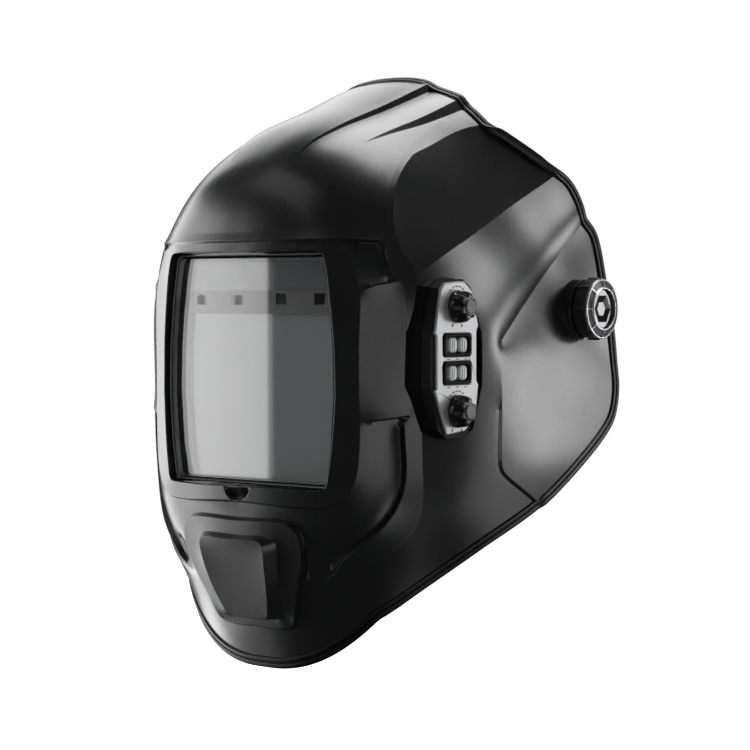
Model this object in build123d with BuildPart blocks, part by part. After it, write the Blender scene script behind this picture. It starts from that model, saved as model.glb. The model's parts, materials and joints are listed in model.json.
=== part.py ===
from build123d import *
import math
import os

# ------------------------------------------------------------------ driving dimensions (mm)
WALL = 3.0                      # shell wall
HALF_WIDTH = 112.0              # half width of the shell at the ears
FAN_Y, FAN_Z = 60.0, -60.0      # line (along X) that every section plane of the shell contains
ROWS = [                        # front point (y, z), side power, depth power of each section
    (-140, -212, 2.4, 2.5), (-148, -194, 2.45, 2.7), (-157, -164, 2.5, 3.1), (-169, -128, 2.7, 3.8),
    (-171, -95, 2.8, 4.6), (-171, -30, 2.8, 5.0), (-171, 15, 2.8, 4.8), (-171, 40, 2.6, 4.0),
    (-161, 71, 2.35, 3.2), (-132, 95, 2.15, 2.75), (-88, 111, 2.1, 2.7), (-36, 129, 2.2, 3.1),
    (0, 137, 2.2, 3.3),
]
DEPTHS = [1.0, 0.994, 0.975, 0.935, 0.87, 0.77, 0.63, 0.46, 0.27]   # stations of a half section
RIM_TOP = [(-36, 150), (-37, 98), (-15, 82), (3, 73), (14, 52), (21, 44), (26, 14), (31, -12)]
RIM_REAR = [(33, -30), (34, -46), (29, -62), (18, -72)]
RIM_JAW = [(-30, -100), (-46, -108), (-88, -127), (-116, -145), (-134, -162), (-150, -194)]

WINDOW_TOP, WINDOW_BOTTOM = 30.0, -93.5
LENS_Y = -157.0                 # front face of the cover lens
LENS_T = 1.5
POCKET_X, POCKET_TOP, POCKET_BOTTOM = 62.3, 33.0, -97.0
COLLAR_X, COLLAR_TOP, COLLAR_BOTTOM = 67.0, 38.0, -102.0
ADF_Y, ADF_T = -154.4, 12.0     # front face and thickness of the auto darkening cartridge
ADF_BACK = ADF_Y + ADF_T
VIEW_X, VIEW_TOP, VIEW_BOTTOM = 53.0, -2.5, -91.0
CAP_X, CAP_Z, CAP_R = 38.0, 16.0, 14.0
RETAINER_T = 4.0
SCREW_Z = (20.0, -84.0)

PIVOT_BORE_R = 5.5
BOSS_R, BOSS_OUT, BOSS_IN = 20.5, 110.0, 104.0
REACH = 7.0                     # fore and aft travel of the pivots each way
ARM_X = 96.0                    # inner face of the slotted plate of an arm

PLATE_X, PLATE_T = 103.0, 1.6   # control panel
PANEL_Y, PANEL_Z = -118.6, -25.5
KNOB_Z = 27.0                   # dial shafts above and below the panel's middle
SWITCH_Z = 7.2                  # slide switches above and below the panel's middle

BAND_HALF, BAND_FRONT, BAND_REAR = 79.5, -94.0, 92.0
BAND_T, BAND_H, BAND_CORNER = 1.6, 28.0, 40.0
RACK_PITCH = math.pi
STRAP_T = 1.6
HOUSING_Y = 91.8                # rear face of the ratchet's front cover
KNOB_X, KNOB_FACE = 110.4, 118.4    # back and face of a tension knob's grip


# ------------------------------------------------------------------ shell sections
def section_plane(y, z):
    """Plane through the fan line and a front point: local x is X, local y runs to the front point."""
    reach = math.hypot(y - FAN_Y, z - FAN_Z)
    c, s = (FAN_Y - y) / reach, (z - FAN_Z) / reach
    return Plane(origin=(0, FAN_Y, FAN_Z), x_dir=(1, 0, 0), z_dir=(0, -s, -c)), reach


def half_section(reach, side, depth, gap, tail):
    """Points from the front middle to the rear of one half of a section."""
    pts = []
    for q in DEPTHS:
        pts.append(((HALF_WIDTH - gap) * (1 - q ** depth) ** (1 / side), (reach - gap) * q))
    pts.append((HALF_WIDTH - gap, tail))
    return pts


def shares():
    """Spline parameters shared by every section, from the spacing of the window section."""
    y, z, side, depth = ROWS[5]
    half = half_section(math.hypot(y - FAN_Y, z - FAN_Z), side, depth, 0, 16)
    total = [0.0]
    for a, b in zip(half, half[1:]):
        total.append(total[-1] + math.dist(a, b))
    full = [-t for t in reversed(total[1:])] + total
    return [(t + total[-1]) / (2 * total[-1]) for t in full]


def fan_block(gap, tail):
    """Solid filled out to `gap` inside the shell's outer skin."""
    with BuildPart() as block:
        for y, z, side, depth in ROWS:
            plane, reach = section_plane(y, z)
            half = half_section(reach, side, depth, gap, tail)
            left = [(-px, py) for px, py in reversed(half[1:])]
            with BuildSketch(plane):
                with BuildLine():
                    add(Edge.make_spline([Vector(*p) for p in left + half], parameters=shares()))
                    Line(half[-1], left[0])
                make_face()
        loft()
    return block.part


outer_block = fan_block(0, 16)
inner_block = fan_block(WALL, 8)
raised_block = fan_block(-1.6, 16)


with BuildSketch() as window_sketch:
    with BuildLine():
        Line((-52.3, WINDOW_TOP), (52.3, WINDOW_TOP))
        ThreePointArc((52.3, WINDOW_TOP), (59.6, -32), (54, WINDOW_BOTTOM))
        Line((54, WINDOW_BOTTOM), (-54, WINDOW_BOTTOM))
        ThreePointArc((-54, WINDOW_BOTTOM), (-59.6, -32), (-52.3, WINDOW_TOP))
    make_face()
    fillet(window_sketch.vertices(), 4)


def front_patch(points, lift):
    """Raised patch of the skin seen from the front, with mirror symmetry about X = 0."""
    mirrored = [(-x, z) for x, z in reversed(points)]
    with BuildPart() as patch:
        with BuildSketch(Plane.XZ.offset(120)):
            with BuildLine():
                Polyline(*points, *mirrored, close=True)
            make_face()
        extrude(amount=90)
        add(lift, mode=Mode.INTERSECT)
        add(inner_block, mode=Mode.SUBTRACT)
    return patch.part


bezel_patch = front_patch([(62, 37), (70.5, 12), (71.5, -20), (71, -60), (68, -88), (58, -104)], raised_block)
chin_patch = front_patch([(36, -111), (38, -118), (24, -166), (21, -168.5)], raised_block)

with BuildPart() as ear_patch:
    with BuildSketch(Plane.YZ):
        with BuildLine():
            Polyline((4, 50), (-74, -26), (-78, -84), (-52, -104), (20, -64), (28, -10), close=True)
        make_face()
    extrude(amount=125, both=True)
    add(raised_block, mode=Mode.INTERSECT)
    add(inner_block, mode=Mode.SUBTRACT)

with BuildPart() as collar:
    add(outer_block)
    with Locations((0, -171, (COLLAR_TOP + COLLAR_BOTTOM) / 2)):
        Box(2 * COLLAR_X, 2 * (171 + ADF_BACK), COLLAR_TOP - COLLAR_BOTTOM, mode=Mode.INTERSECT)


def panel_half(grow):
    """Half outline of the control panel about its own middle: (along Y, along Z)."""
    return [(-7, 40 + grow), (-13.5 - grow, 35.5 + grow), (-19.7 - grow, 13.5), (-19.7 - grow, -13.5),
            (-13.5 - grow, -35.5 - grow), (-7, -40 - grow)]


def panel_sketch(grow):
    half = panel_half(grow)
    with BuildSketch() as sk:
        with BuildLine():
            Polyline(*half, *[(-y, z) for y, z in reversed(half)], close=True)
        make_face()
    return sk.sketch


def panel_prism(grow, x0, depth):
    with BuildPart() as prism:
        with BuildSketch(Plane.YZ.offset(x0)) as sk:
            with Locations((PANEL_Y, PANEL_Z)):
                add(panel_sketch(grow))
        extrude(amount=depth)
    return prism.part


panel_hole = panel_prism(1.4, 70, 50)

with BuildPart() as outer_shell:
    add(outer_block)
    add(inner_block, mode=Mode.SUBTRACT)
    add(bezel_patch)
    add(chin_patch)
    add(ear_patch.part)
    add(collar.part)
    for side in (-1, 1):
        with Locations(Location((side * (BOSS_IN + BOSS_OUT) / 2, 0, 0), (0, 90, 0))):
            Cylinder(BOSS_R, BOSS_OUT - BOSS_IN)
        with Locations(Location((side * (BOSS_OUT + 5), 0, 0), (0, 90, 0))):
            Cylinder(BOSS_R - 0.5, 10, mode=Mode.SUBTRACT)
    with BuildSketch(Plane.YZ):
        with BuildLine():
            Polyline(*RIM_TOP, *RIM_REAR, *RIM_JAW, (-160, -260), (-220, -260), (-220, 150), close=True)
        make_face()
    extrude(amount=125, both=True, mode=Mode.INTERSECT)
    with BuildSketch(Plane.XZ.offset(-ADF_BACK - 5)):
        add(window_sketch.sketch)
    extrude(amount=60, mode=Mode.SUBTRACT)
    pocket_mid = (POCKET_TOP + POCKET_BOTTOM) / 2
    with Locations((0, (LENS_Y + ADF_BACK) / 2 + 2, pocket_mid)):
        Box(2 * POCKET_X, ADF_BACK - LENS_Y + 4, POCKET_TOP - POCKET_BOTTOM, mode=Mode.SUBTRACT)
    with Locations(Location((0, -166, WINDOW_BOTTOM + 1), (90, 0, 0))):
        Cylinder(9, 14, mode=Mode.SUBTRACT)
    with Locations(Location((0, 0, 0), (0, 90, 0))):
        Cylinder(PIVOT_BORE_R, 260, mode=Mode.SUBTRACT)
    add(panel_hole, mode=Mode.SUBTRACT)
    with Locations(*[Location((s * 64.7, ADF_BACK, z), (90, 0, 0)) for s in (-1, 1) for z in SCREW_Z]):
        Cylinder(1.25, 16, mode=Mode.SUBTRACT)
outer_shell.part.label = "outer_shell"


# ------------------------------------------------------------------ lens and auto darkening cartridge
def slab(x, y0, y1, z0, z1, x0=0.0):
    """Box between two Y faces, centred on x0."""
    with Locations((x0, (y0 + y1) / 2, (z0 + z1) / 2)):
        Box(2 * x, abs(y1 - y0), abs(z1 - z0))


def cut_slab(x, y0, y1, z0, z1, x0=0.0):
    with Locations((x0, (y0 + y1) / 2, (z0 + z1) / 2)):
        Box(2 * x, abs(y1 - y0), abs(z1 - z0), mode=Mode.SUBTRACT)


with BuildPart() as cover_lens:
    slab(62.0, LENS_Y, LENS_Y + LENS_T, -96.7, 32.7)
    fillet(cover_lens.edges().filter_by(Axis.Y), 4)
cover_lens.part.label = "cover_lens"

with BuildPart() as lens_gasket:
    slab(61.8, LENS_Y + LENS_T, ADF_Y, -96.5, 32.5)
    cut_slab(58.5, LENS_Y, ADF_Y + 1, -93.3, 29.3)
lens_gasket.part.label = "lens_gasket"

with BuildPart() as adf_front_frame:
    slab(61.8, ADF_Y, ADF_Y + 2, -96.5, 32.5)
    fillet(adf_front_frame.edges().filter_by(Axis.Y), 4)
    cut_slab(VIEW_X, ADF_Y - 1, ADF_Y + 3, VIEW_BOTTOM, VIEW_TOP)
    cut_slab(53.2, ADF_Y - 1, ADF_Y + 1.2, 9.8, 25.2)
    for px in (-42.2, -16, 16, 42.2):
        cut_slab(3.6, ADF_Y - 1, ADF_Y + 3, 2.4, 8.4, px)
adf_front_frame.part.label = "adf_front_frame"

with BuildPart() as adf_housing:
    slab(61.8, ADF_Y + 2, ADF_BACK, -96.5, 32.5)
    fillet(adf_housing.edges().filter_by(Axis.Y), 4)
    cut_slab(VIEW_X - 3, ADF_Y + 1, ADF_BACK + 1, VIEW_BOTTOM + 3, VIEW_TOP - 3)
    cut_slab(VIEW_X + 1.6, ADF_Y + 1, ADF_Y + 7.1, VIEW_BOTTOM - 1.6, VIEW_TOP + 1.6)
    cut_slab(58, ADF_Y + 1, ADF_BACK - 1.6, 1.2, 30)
    with Locations(*[Location((s * CAP_X, ADF_BACK, CAP_Z), (90, 0, 0)) for s in (-1, 1)]):
        Cylinder(CAP_R + 0.08, 8, mode=Mode.SUBTRACT)
    with Locations(Location((0, ADF_BACK, CAP_Z), (90, 0, 0))):
        Cylinder(4.05, 8, mode=Mode.SUBTRACT)
    with Locations(Location((57, ADF_BACK, CAP_Z), (90, 0, 0))):
        Cylinder(1.6, 8, mode=Mode.SUBTRACT)
adf_housing.part.label = "adf_housing"

with BuildPart() as adf_lcd_glass:
    slab(VIEW_X + 1.5, ADF_Y + 2, ADF_Y + 7, VIEW_BOTTOM - 1.5, VIEW_TOP + 1.5)
adf_lcd_glass.part.label = "adf_lcd_glass"

with BuildPart() as solar_cell:
    slab(53, ADF_Y + 0.3, ADF_Y + 1.2, 10, 25)
solar_cell.part.label = "solar_cell"

with BuildPart() as arc_sensors:
    for px in (-42.2, -16, 16, 42.2):
        slab(3.5, ADF_Y + 0.5, ADF_Y + 2, 2.5, 8.3, px)
arc_sensors.part.label = "arc_sensors"

with BuildPart() as adf_circuit_board:
    slab(57.8, ADF_Y + 2.2, ADF_Y + 3.4, 1.4, 29.8)
adf_circuit_board.part.label = "adf_circuit_board"

with BuildPart() as coin_cells:
    with Locations(*[Location((s * CAP_X, ADF_Y + 6.1, CAP_Z), (90, 0, 0)) for s in (-1, 1)]):
        Cylinder(12.25, 5)
coin_cells.part.label = "coin_cells"

with BuildPart() as inner_cover_lens:
    slab(57, ADF_BACK, ADF_BACK + 1.2, -95, 0)
inner_cover_lens.part.label = "inner_cover_lens"

with BuildPart() as filter_retainer:
    slab(COLLAR_X, ADF_BACK, ADF_BACK + RETAINER_T, COLLAR_BOTTOM, COLLAR_TOP)
    fillet(filter_retainer.edges().filter_by(Axis.Y), 4)
    cut_slab(50, ADF_BACK - 1, ADF_BACK + 6, -88, -7)
    cut_slab(57.2, ADF_BACK - 1, ADF_BACK + 1.2, -95.2, 0.2)
    cut_slab(60, ADF_BACK - 1, ADF_BACK + 6, 1.0, 31.5)
    with Locations(*[Location((s * 64.7, ADF_BACK + 2, z), (90, 0, 0)) for s in (-1, 1) for z in SCREW_Z]):
        Cylinder(1.25, 8, mode=Mode.SUBTRACT)
filter_retainer.part.label = "filter_retainer"

with BuildPart() as retainer_screws:
    for s in (-1, 1):
        for z in SCREW_Z:
            with Locations(Location((s * 64.7, ADF_BACK + RETAINER_T - 5, z), (90, 0, 0))):
                Cylinder(1.2, 10)
            with Locations(Location((s * 64.7, ADF_BACK + RETAINER_T + 0.9, z), (90, 0, 0))):
                Cylinder(2.3, 1.8)
retainer_screws.part.label = "retainer_screws"


def battery_cap(side):
    """Coin slotted quarter turn cap over one cell, in the cartridge's rear face."""
    with BuildPart() as cap:
        with Locations(Location((side * CAP_X, ADF_BACK - 1.0, CAP_Z), (90, 0, 0))):
            Cylinder(CAP_R, 2.4)
        cut_slab(9, ADF_BACK - 0.8, ADF_BACK + 2, CAP_Z - 1, CAP_Z + 1, side * CAP_X)
    return cap


battery_cap_left = battery_cap(1)
battery_cap_left.part.label = "battery_cap_left"
battery_cap_right = battery_cap(-1)
battery_cap_right.part.label = "battery_cap_right"

with BuildPart() as test_button:
    with Locations(Location((0, ADF_BACK - 0.6, CAP_Z), (90, 0, 0))):
        Cylinder(4.0, 4.6)
test_button.part.label = "test_button"


# ------------------------------------------------------------------ control panel on the wearer's left
def rod(x0, x1, y, z, r, mode=Mode.ADD):
    """Cylinder along X."""
    with Locations(Location(((x0 + x1) / 2, y, z), (0, 90, 0))):
        Cylinder(r, abs(x1 - x0), mode=mode)


def brick(x0, x1, y, z, wy, wz, mode=Mode.ADD):
    """Box between two X faces, centred on (y, z)."""
    with Locations(((x0 + x1) / 2, y, z)):
        Box(abs(x1 - x0), wy, wz, mode=mode)


dial_z = (PANEL_Z + KNOB_Z, PANEL_Z - KNOB_Z)
switch_z = (PANEL_Z + SWITCH_Z, PANEL_Z - SWITCH_Z)
boss_z = (PANEL_Z + 36.2, PANEL_Z - 36.2)

with BuildPart() as control_housing:
    add(panel_prism(1.2, 88, PLATE_X - 88))
    add(panel_prism(-1.0, 87, PLATE_X - 2 - 87), mode=Mode.SUBTRACT)
    for z in boss_z:
        rod(88, PLATE_X - 1, PANEL_Y, z, 2.4)
        rod(86, 98, PANEL_Y, z, 1.0, Mode.SUBTRACT)
    for z in dial_z:
        rod(95, 110, PANEL_Y, z, 3.5, Mode.SUBTRACT)
    for z in switch_z:
        brick(98, 110, PANEL_Y, z, 22.4, 9.4, Mode.SUBTRACT)
control_housing.part.label = "control_housing"

with BuildPart() as control_plate:
    with BuildSketch(Plane.YZ.offset(PLATE_X)):
        with Locations((PANEL_Y, PANEL_Z)):
            add(panel_sketch(0))
    extrude(amount=PLATE_T)
    fillet(control_plate.edges().filter_by(Axis.X), 2.0)
    for s in (-1, 1):
        brick(PLATE_X - 1, PLATE_X + 4, PANEL_Y + s * 20.0, PANEL_Z, 3.4, 25.0, Mode.SUBTRACT)
    for z in dial_z:
        rod(95, 110, PANEL_Y, z, 3.5, Mode.SUBTRACT)
    for z in switch_z:
        brick(98, 110, PANEL_Y, z, 25.0, 11.8, Mode.SUBTRACT)
control_plate.part.label = "control_plate"


def switch_bezel(z):
    with BuildPart() as bezel:
        brick(PLATE_X, PLATE_X + 2.4, PANEL_Y, z, 24.8, 11.6)
        fillet(bezel.edges().filter_by(Axis.X), 2.0)
        brick(PLATE_X - 1, PLATE_X + 4, PANEL_Y, z, 20.4, 8.4, Mode.SUBTRACT)
    return bezel


upper_bezel = switch_bezel(switch_z[0])
upper_bezel.part.label = "upper_switch_bezel"
lower_bezel = switch_bezel(switch_z[1])
lower_bezel.part.label = "lower_switch_bezel"


def switch_body(z):
    """Board mounted slide switch with a track for its slider."""
    with BuildPart() as body:
        brick(95.6, 101.0, PANEL_Y, z, 22, 9)
        brick(98.6, 102.0, PANEL_Y, z, 12.6, 3.2, Mode.SUBTRACT)
    return body


upper_switch = switch_body(switch_z[0])
upper_switch.part.label = "upper_switch_body"
lower_switch = switch_body(switch_z[1])
lower_switch.part.label = "lower_switch_body"


def slider(z):
    """Two lobed slider: a stem in the switch and a cap between the bezel's lips."""
    with BuildPart() as cap:
        brick(98.8, 101.4, PANEL_Y, z, 6, 2.8)
        brick(101.3, 105.6, PANEL_Y, z, 16.0, 7.8)
        brick(103.6, 107.0, PANEL_Y, z, 2.0, 9.0, Mode.SUBTRACT)
        for s in (-1, 1):
            brick(105.1, 107.0, PANEL_Y + s * 4.5, z, 0.8, 9.0, Mode.SUBTRACT)
    return cap


upper_slider = slider(switch_z[0])
upper_slider.part.label = "upper_switch_slider"
lower_slider = slider(switch_z[1])
lower_slider.part.label = "lower_switch_slider"


def dial_pot(z):
    """Potentiometer with its bushing through the wall and the plate."""
    with BuildPart() as pot:
        rod(95.6, 101.0, PANEL_Y, z, 6.4)
        rod(101.0, 104.6, PANEL_Y, z, 3.4)
        rod(96.6, 106.0, PANEL_Y, z, 1.55, Mode.SUBTRACT)
    return pot


shade_pot = dial_pot(dial_z[0])
shade_pot.part.label = "shade_pot"
sensitivity_pot = dial_pot(dial_z[1])
sensitivity_pot.part.label = "sensitivity_pot"


def dial_knob(z):
    """Fluted dial with a bore for its shaft."""
    with BuildPart() as knob:
        rod(105.0, 107.0, PANEL_Y, z, 8.2)
        with Locations(Location((112.2, PANEL_Y, z), (0, 90, 0))):
            Cone(7.4, 5.8, 10.4)
        with Locations(Location((105, PANEL_Y, z), (0, 90, 0))):
            with PolarLocations(8.6, 6, start_angle=30):
                with Locations((0, 0, 7.6)):
                    Cylinder(2.0, 11, mode=Mode.SUBTRACT)
        rod(104.0, 112.0, PANEL_Y, z, 1.5, Mode.SUBTRACT)
    return knob


def dial_shaft(z):
    with BuildPart() as shaft:
        rod(97.0, 112.0, PANEL_Y, z, 1.5)
    return shaft


shade_knob = dial_knob(dial_z[0])
shade_knob.part.label = "shade_knob"
shade_shaft = dial_shaft(dial_z[0])
shade_shaft.part.label = "shade_shaft"
sensitivity_knob = dial_knob(dial_z[1])
sensitivity_knob.part.label = "sensitivity_knob"
sensitivity_shaft = dial_shaft(dial_z[1])
sensitivity_shaft.part.label = "sensitivity_shaft"

with BuildPart() as control_board:
    brick(94.0, 95.6, PANEL_Y, PANEL_Z, 28, 60)
    fillet(control_board.edges().filter_by(Axis.X), 6)
control_board.part.label = "control_board"

with BuildPart() as control_back_cover:
    add(panel_prism(1.2, 86, 2))
    for z in boss_z:
        rod(84, 90, PANEL_Y, z, 1.0, Mode.SUBTRACT)
    rod(84, 90, PANEL_Y, PANEL_Z + 20, 1.7, Mode.SUBTRACT)
control_back_cover.part.label = "control_back_cover"

with BuildPart() as control_screws:
    for z in boss_z:
        rod(84.6, 86.0, PANEL_Y, z, 2.2)
        rod(86.0, 97.0, PANEL_Y, z, 1.0)
control_screws.part.label = "control_screws"

with BuildPart() as control_lead:
    with BuildLine() as lead_path:
        FilletPolyline((93.0, PANEL_Y, PANEL_Z + 20), (76, PANEL_Y, PANEL_Z + 20), (57, -126, CAP_Z),
                       (57, ADF_BACK - 3, CAP_Z), radius=6)
    with BuildSketch(Plane(origin=lead_path.line @ 0, z_dir=lead_path.line % 0)):
        Circle(1.5)
    sweep()
control_lead.part.label = "control_lead"


# ------------------------------------------------------------------ headgear
def band_plan(grow):
    """Plan outline of the band: half ellipse in front, straight sides, rounded rear corners."""
    w, r = BAND_HALF + grow, BAND_REAR + grow
    c = BAND_CORNER + grow
    with BuildSketch() as plan:
        with Locations((0, (r - 100) / 2)):
            Rectangle(2 * w, r + 100)
        fillet(plan.vertices().group_by(Axis.Y)[-1], c)
        with BuildSketch(mode=Mode.SUBTRACT):
            with Locations((0, -100)):
                Rectangle(300, 200)
        Ellipse(w, grow - BAND_FRONT)
    return plan.sketch


with BuildPart() as headband:
    with BuildSketch(Plane.XY.offset(-BAND_H / 2)):
        add(band_plan(BAND_T))
    extrude(amount=BAND_H)
    with BuildSketch(Plane.XY.offset(-BAND_H / 2)):
        add(band_plan(0))
    extrude(amount=BAND_H, mode=Mode.SUBTRACT)
    with Locations((0, BAND_REAR, 0)):
        Box(32, 12, BAND_H + 2, mode=Mode.SUBTRACT)
headband.part.label = "headband"

with BuildPart() as front_sweatband:
    with BuildSketch(Plane.XY.offset(-15)):
        add(band_plan(-0.2))
    extrude(amount=30)
    with BuildSketch(Plane.XY.offset(-15)):
        add(band_plan(-5.2))
    extrude(amount=30, mode=Mode.SUBTRACT)
    with Locations((0, -75, 0)):
        Box(150, 90, 40, mode=Mode.INTERSECT)
front_sweatband.part.label = "front_sweatband"


def strap_arch(a, b, foot0, foot1, plane, width):
    """Strap over the head: half ellipse a by b above z = 20 on straight legs down to foot0, foot1."""
    with BuildPart() as strap:
        for grow, mode in ((STRAP_T, Mode.ADD), (0, Mode.SUBTRACT)):
            with BuildSketch(plane.offset(-width / 2)):
                with Locations((0, 20)):
                    Ellipse(a + grow, b + grow)
                    Rectangle(300, 300, align=(Align.CENTER, Align.MAX), mode=Mode.SUBTRACT)
                for end, foot in ((-1, foot0), (1, foot1)):
                    with Locations((end * (a + grow) / 2, (20 + foot) / 2)):
                        Rectangle(a + grow, 20 - foot)
            extrude(amount=width, mode=mode)
    return strap


cross_strap = strap_arch(77.8, 62.4, -10, -10, Plane.XZ.offset(-10), 20)
cross_strap.part.label = "cross_strap"
long_plane = Plane(origin=(0, -1, 0), x_dir=(0, 1, 0), z_dir=(1, 0, 0))
long_strap = strap_arch(94.7, 66.2, -10, 16.05, long_plane, 20)
long_strap.part.label = "long_strap"


def arm(side):
    """Bracket that carries the slotted plate of one pivot outside the headband."""
    base = side * (BAND_HALF + BAND_T + 0.02)
    with BuildPart() as bracket:
        brick(base, base + side * 2, 0, 0, 44, 26)
        for end in (-1, 1):
            brick(base, side * (ARM_X + 3), end * 20.75, 0, 2.5, 26)
        brick(side * ARM_X, side * (ARM_X + 3), 0, 0, 44, 26)
        brick(side * (ARM_X - 1), side * (ARM_X + 4), 0, 0, 2 * REACH + 10.4, 10.2, Mode.SUBTRACT)
    return bracket


arm_left = arm(1)
arm_left.part.label = "arm_left"
arm_right = arm(-1)
arm_right.part.label = "arm_right"


def pivot_stud(side):
    """Sliding stud: two flanges either side of the slotted plate, shoulder and threaded end."""
    with BuildPart() as stud:
        rod(side * (ARM_X - 3), side * (ARM_X - 0.1), 0, 0, 9.5)
        brick(side * (ARM_X - 0.1), side * (ARM_X + 3.1), 0, 0, 9.8, 10.0)
        rod(side * (ARM_X + 3.1), side * (ARM_X + 5), 0, 0, 9.5)
        rod(side * (ARM_X + 5), side * (BOSS_OUT + 0.3), 0, 0, PIVOT_BORE_R - 0.08)
        rod(side * (BOSS_OUT + 0.3), side * 117.8, 0, 0, 4.0)
    return stud


pivot_stud_left = pivot_stud(1)
pivot_stud_left.part.label = "pivot_stud_left"
pivot_stud_right = pivot_stud(-1)
pivot_stud_right.part.label = "pivot_stud_right"


def friction_washer(side):
    with BuildPart() as washer:
        rod(side * (ARM_X + 5.02), side * (BOSS_IN - 0.15), 0, 0, 9.5)
        rod(side * ARM_X, side * BOSS_OUT, 0, 0, PIVOT_BORE_R - 0.05, Mode.SUBTRACT)
    return washer


friction_washer_left = friction_washer(1)
friction_washer_left.part.label = "friction_washer_left"
friction_washer_right = friction_washer(-1)
friction_washer_right.part.label = "friction_washer_right"


# ------------------------------------------------------------------ tension knobs
def knob_grip(side):
    """Eight sided grip with thumb notches, hollow for the threaded insert."""
    with BuildPart() as grip:
        with BuildSketch(Plane.YZ.offset(side * KNOB_X)):
            Circle(17.5)
            with PolarLocations(20.4, 8, start_angle=22.5):
                Circle(4.2, mode=Mode.SUBTRACT)
        extrude(amount=side * (KNOB_FACE - KNOB_X))
        rod(side * 100, side * 125, 0, 0, 6.5, Mode.SUBTRACT)
    return grip


def knob_ring(side):
    """Bevelled trim ring round the face of a tension knob, with eight shallow windows."""
    face = side * KNOB_FACE
    with BuildPart() as ring:
        rod(face, face + side * 1.6, 0, 0, 16.8)
        with BuildSketch(Plane.YZ.offset(face + side * 1.6)):
            Circle(16.8)
        extrude(amount=side * 2.0, taper=40)
        rod(face - side, face + side * 6, 0, 0, 11.0, Mode.SUBTRACT)
    return ring


def knob_disc(side):
    with BuildPart() as disc:
        rod(side * (KNOB_FACE + 0.02), side * (KNOB_FACE + 1.8), 0, 0, 10.95)
    return disc


def knob_insert(side):
    with BuildPart() as insert:
        rod(side * (KNOB_X + 0.6), side * (KNOB_FACE - 0.02), 0, 0, 6.48)
        rod(side * 100, side * 125, 0, 0, 4.06, Mode.SUBTRACT)
    return insert


tension_grip_left, tension_grip_right = knob_grip(1), knob_grip(-1)
tension_grip_left.part.label = "tension_grip_left"
tension_grip_right.part.label = "tension_grip_right"
tension_ring_left, tension_ring_right = knob_ring(1), knob_ring(-1)
tension_ring_left.part.label = "tension_ring_left"
tension_ring_right.part.label = "tension_ring_right"
tension_disc_left, tension_disc_right = knob_disc(1), knob_disc(-1)
tension_disc_left.part.label = "tension_disc_left"
tension_disc_right.part.label = "tension_disc_right"
tension_insert_left, tension_insert_right = knob_insert(1), knob_insert(-1)
tension_insert_left.part.label = "tension_insert_left"
tension_insert_right.part.label = "tension_insert_right"


# ------------------------------------------------------------------ ratchet at the back of the headband
def post(y0, y1, r, mode=Mode.ADD):
    """Cylinder along Y on the ratchet axis."""
    with Locations(Location((0, (y0 + y1) / 2, 0), (90, 0, 0))):
        Cylinder(r, abs(y1 - y0), mode=mode)


with BuildPart() as ratchet_housing:
    slab(36, HOUSING_Y, HOUSING_Y + 7.6, -16, 16)
    fillet(ratchet_housing.edges().filter_by(Axis.Y), 5)
    cut_slab(40, HOUSING_Y - 1, HOUSING_Y + 5.6, -14.3, 14.3)
    post(90, 110, 3.08, Mode.SUBTRACT)
ratchet_housing.part.label = "ratchet_housing"

with BuildPart() as ratchet_cover:
    slab(36, HOUSING_Y - 2, HOUSING_Y - 0.02, -16, 16)
    fillet(ratchet_cover.edges().filter_by(Axis.Y), 5)
    post(80, 95, 2.08, Mode.SUBTRACT)
ratchet_cover.part.label = "ratchet_cover"


def rack(side, y0):
    """Toothed tail of the headband: side +1 carries its teeth above the pinion, -1 below."""
    with BuildPart() as tail:
        slab(26, y0, y0 + 1.6, -11, 11, side * 13)
        cut_slab(18, y0 - 1, y0 + 3, -7.0, 6.25, side * 10)
        for k in range(-2, 8):
            with BuildSketch(Plane.XZ.offset(-y0 - 1.6)):
                with Locations(((k + 0.5) * RACK_PITCH, 0)):
                    with BuildLine():
                        Polyline((-1.0, 6.5), (-1.0, 6.25), (-0.4, 4.25), (0.4, 4.25), (1.0, 6.25), (1.0, 6.5),
                                 close=True)
                    make_face()
            extrude(amount=1.6)
        with Locations((side * 13, y0, 0)):
            Box(52, 10, 22, mode=Mode.INTERSECT)
    return tail


rack_left_solid = rack(1, HOUSING_Y + 2.0)
rack_left_solid.part.label = "rack_left"
with BuildPart() as rack_right_solid:
    add(rack(1, HOUSING_Y + 3.8).part.rotate(Axis.Y, 180))
rack_right_solid.part.label = "rack_right"

with BuildPart() as pinion:
    with BuildSketch(Plane.XZ.offset(-HOUSING_Y - 5.4)):
        Circle(3.7)
        with PolarLocations(0, 10, start_angle=90):
            with BuildLine():
                Polyline((3.2, -0.85), (5.0, -0.62), (5.8, -0.25), (5.8, 0.25), (5.0, 0.62), (3.2, 0.85),
                         close=True)
            make_face()
    extrude(amount=3.4)
    post(HOUSING_Y - 1.5, HOUSING_Y + 2.5, 2.0)
    post(HOUSING_Y + 5, HOUSING_Y + 16, 3.0)
pinion.part.label = "pinion"

with BuildPart() as ratchet_knob:
    with BuildSketch(Plane.XZ.offset(-HOUSING_Y - 18.0)):
        Circle(17)
        with PolarLocations(18.6, 12):
            Circle(3.0, mode=Mode.SUBTRACT)
    extrude(amount=10)
    post(90, HOUSING_Y + 16, 3.0, Mode.SUBTRACT)
ratchet_knob.part.label = "ratchet_knob"

with BuildPart() as rear_pad:
    slab(31, HOUSING_Y - 10, HOUSING_Y - 2.3, -15, 15)
    fillet(rear_pad.edges().filter_by(Axis.Y), 5)
rear_pad.part.label = "rear_pad"

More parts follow.
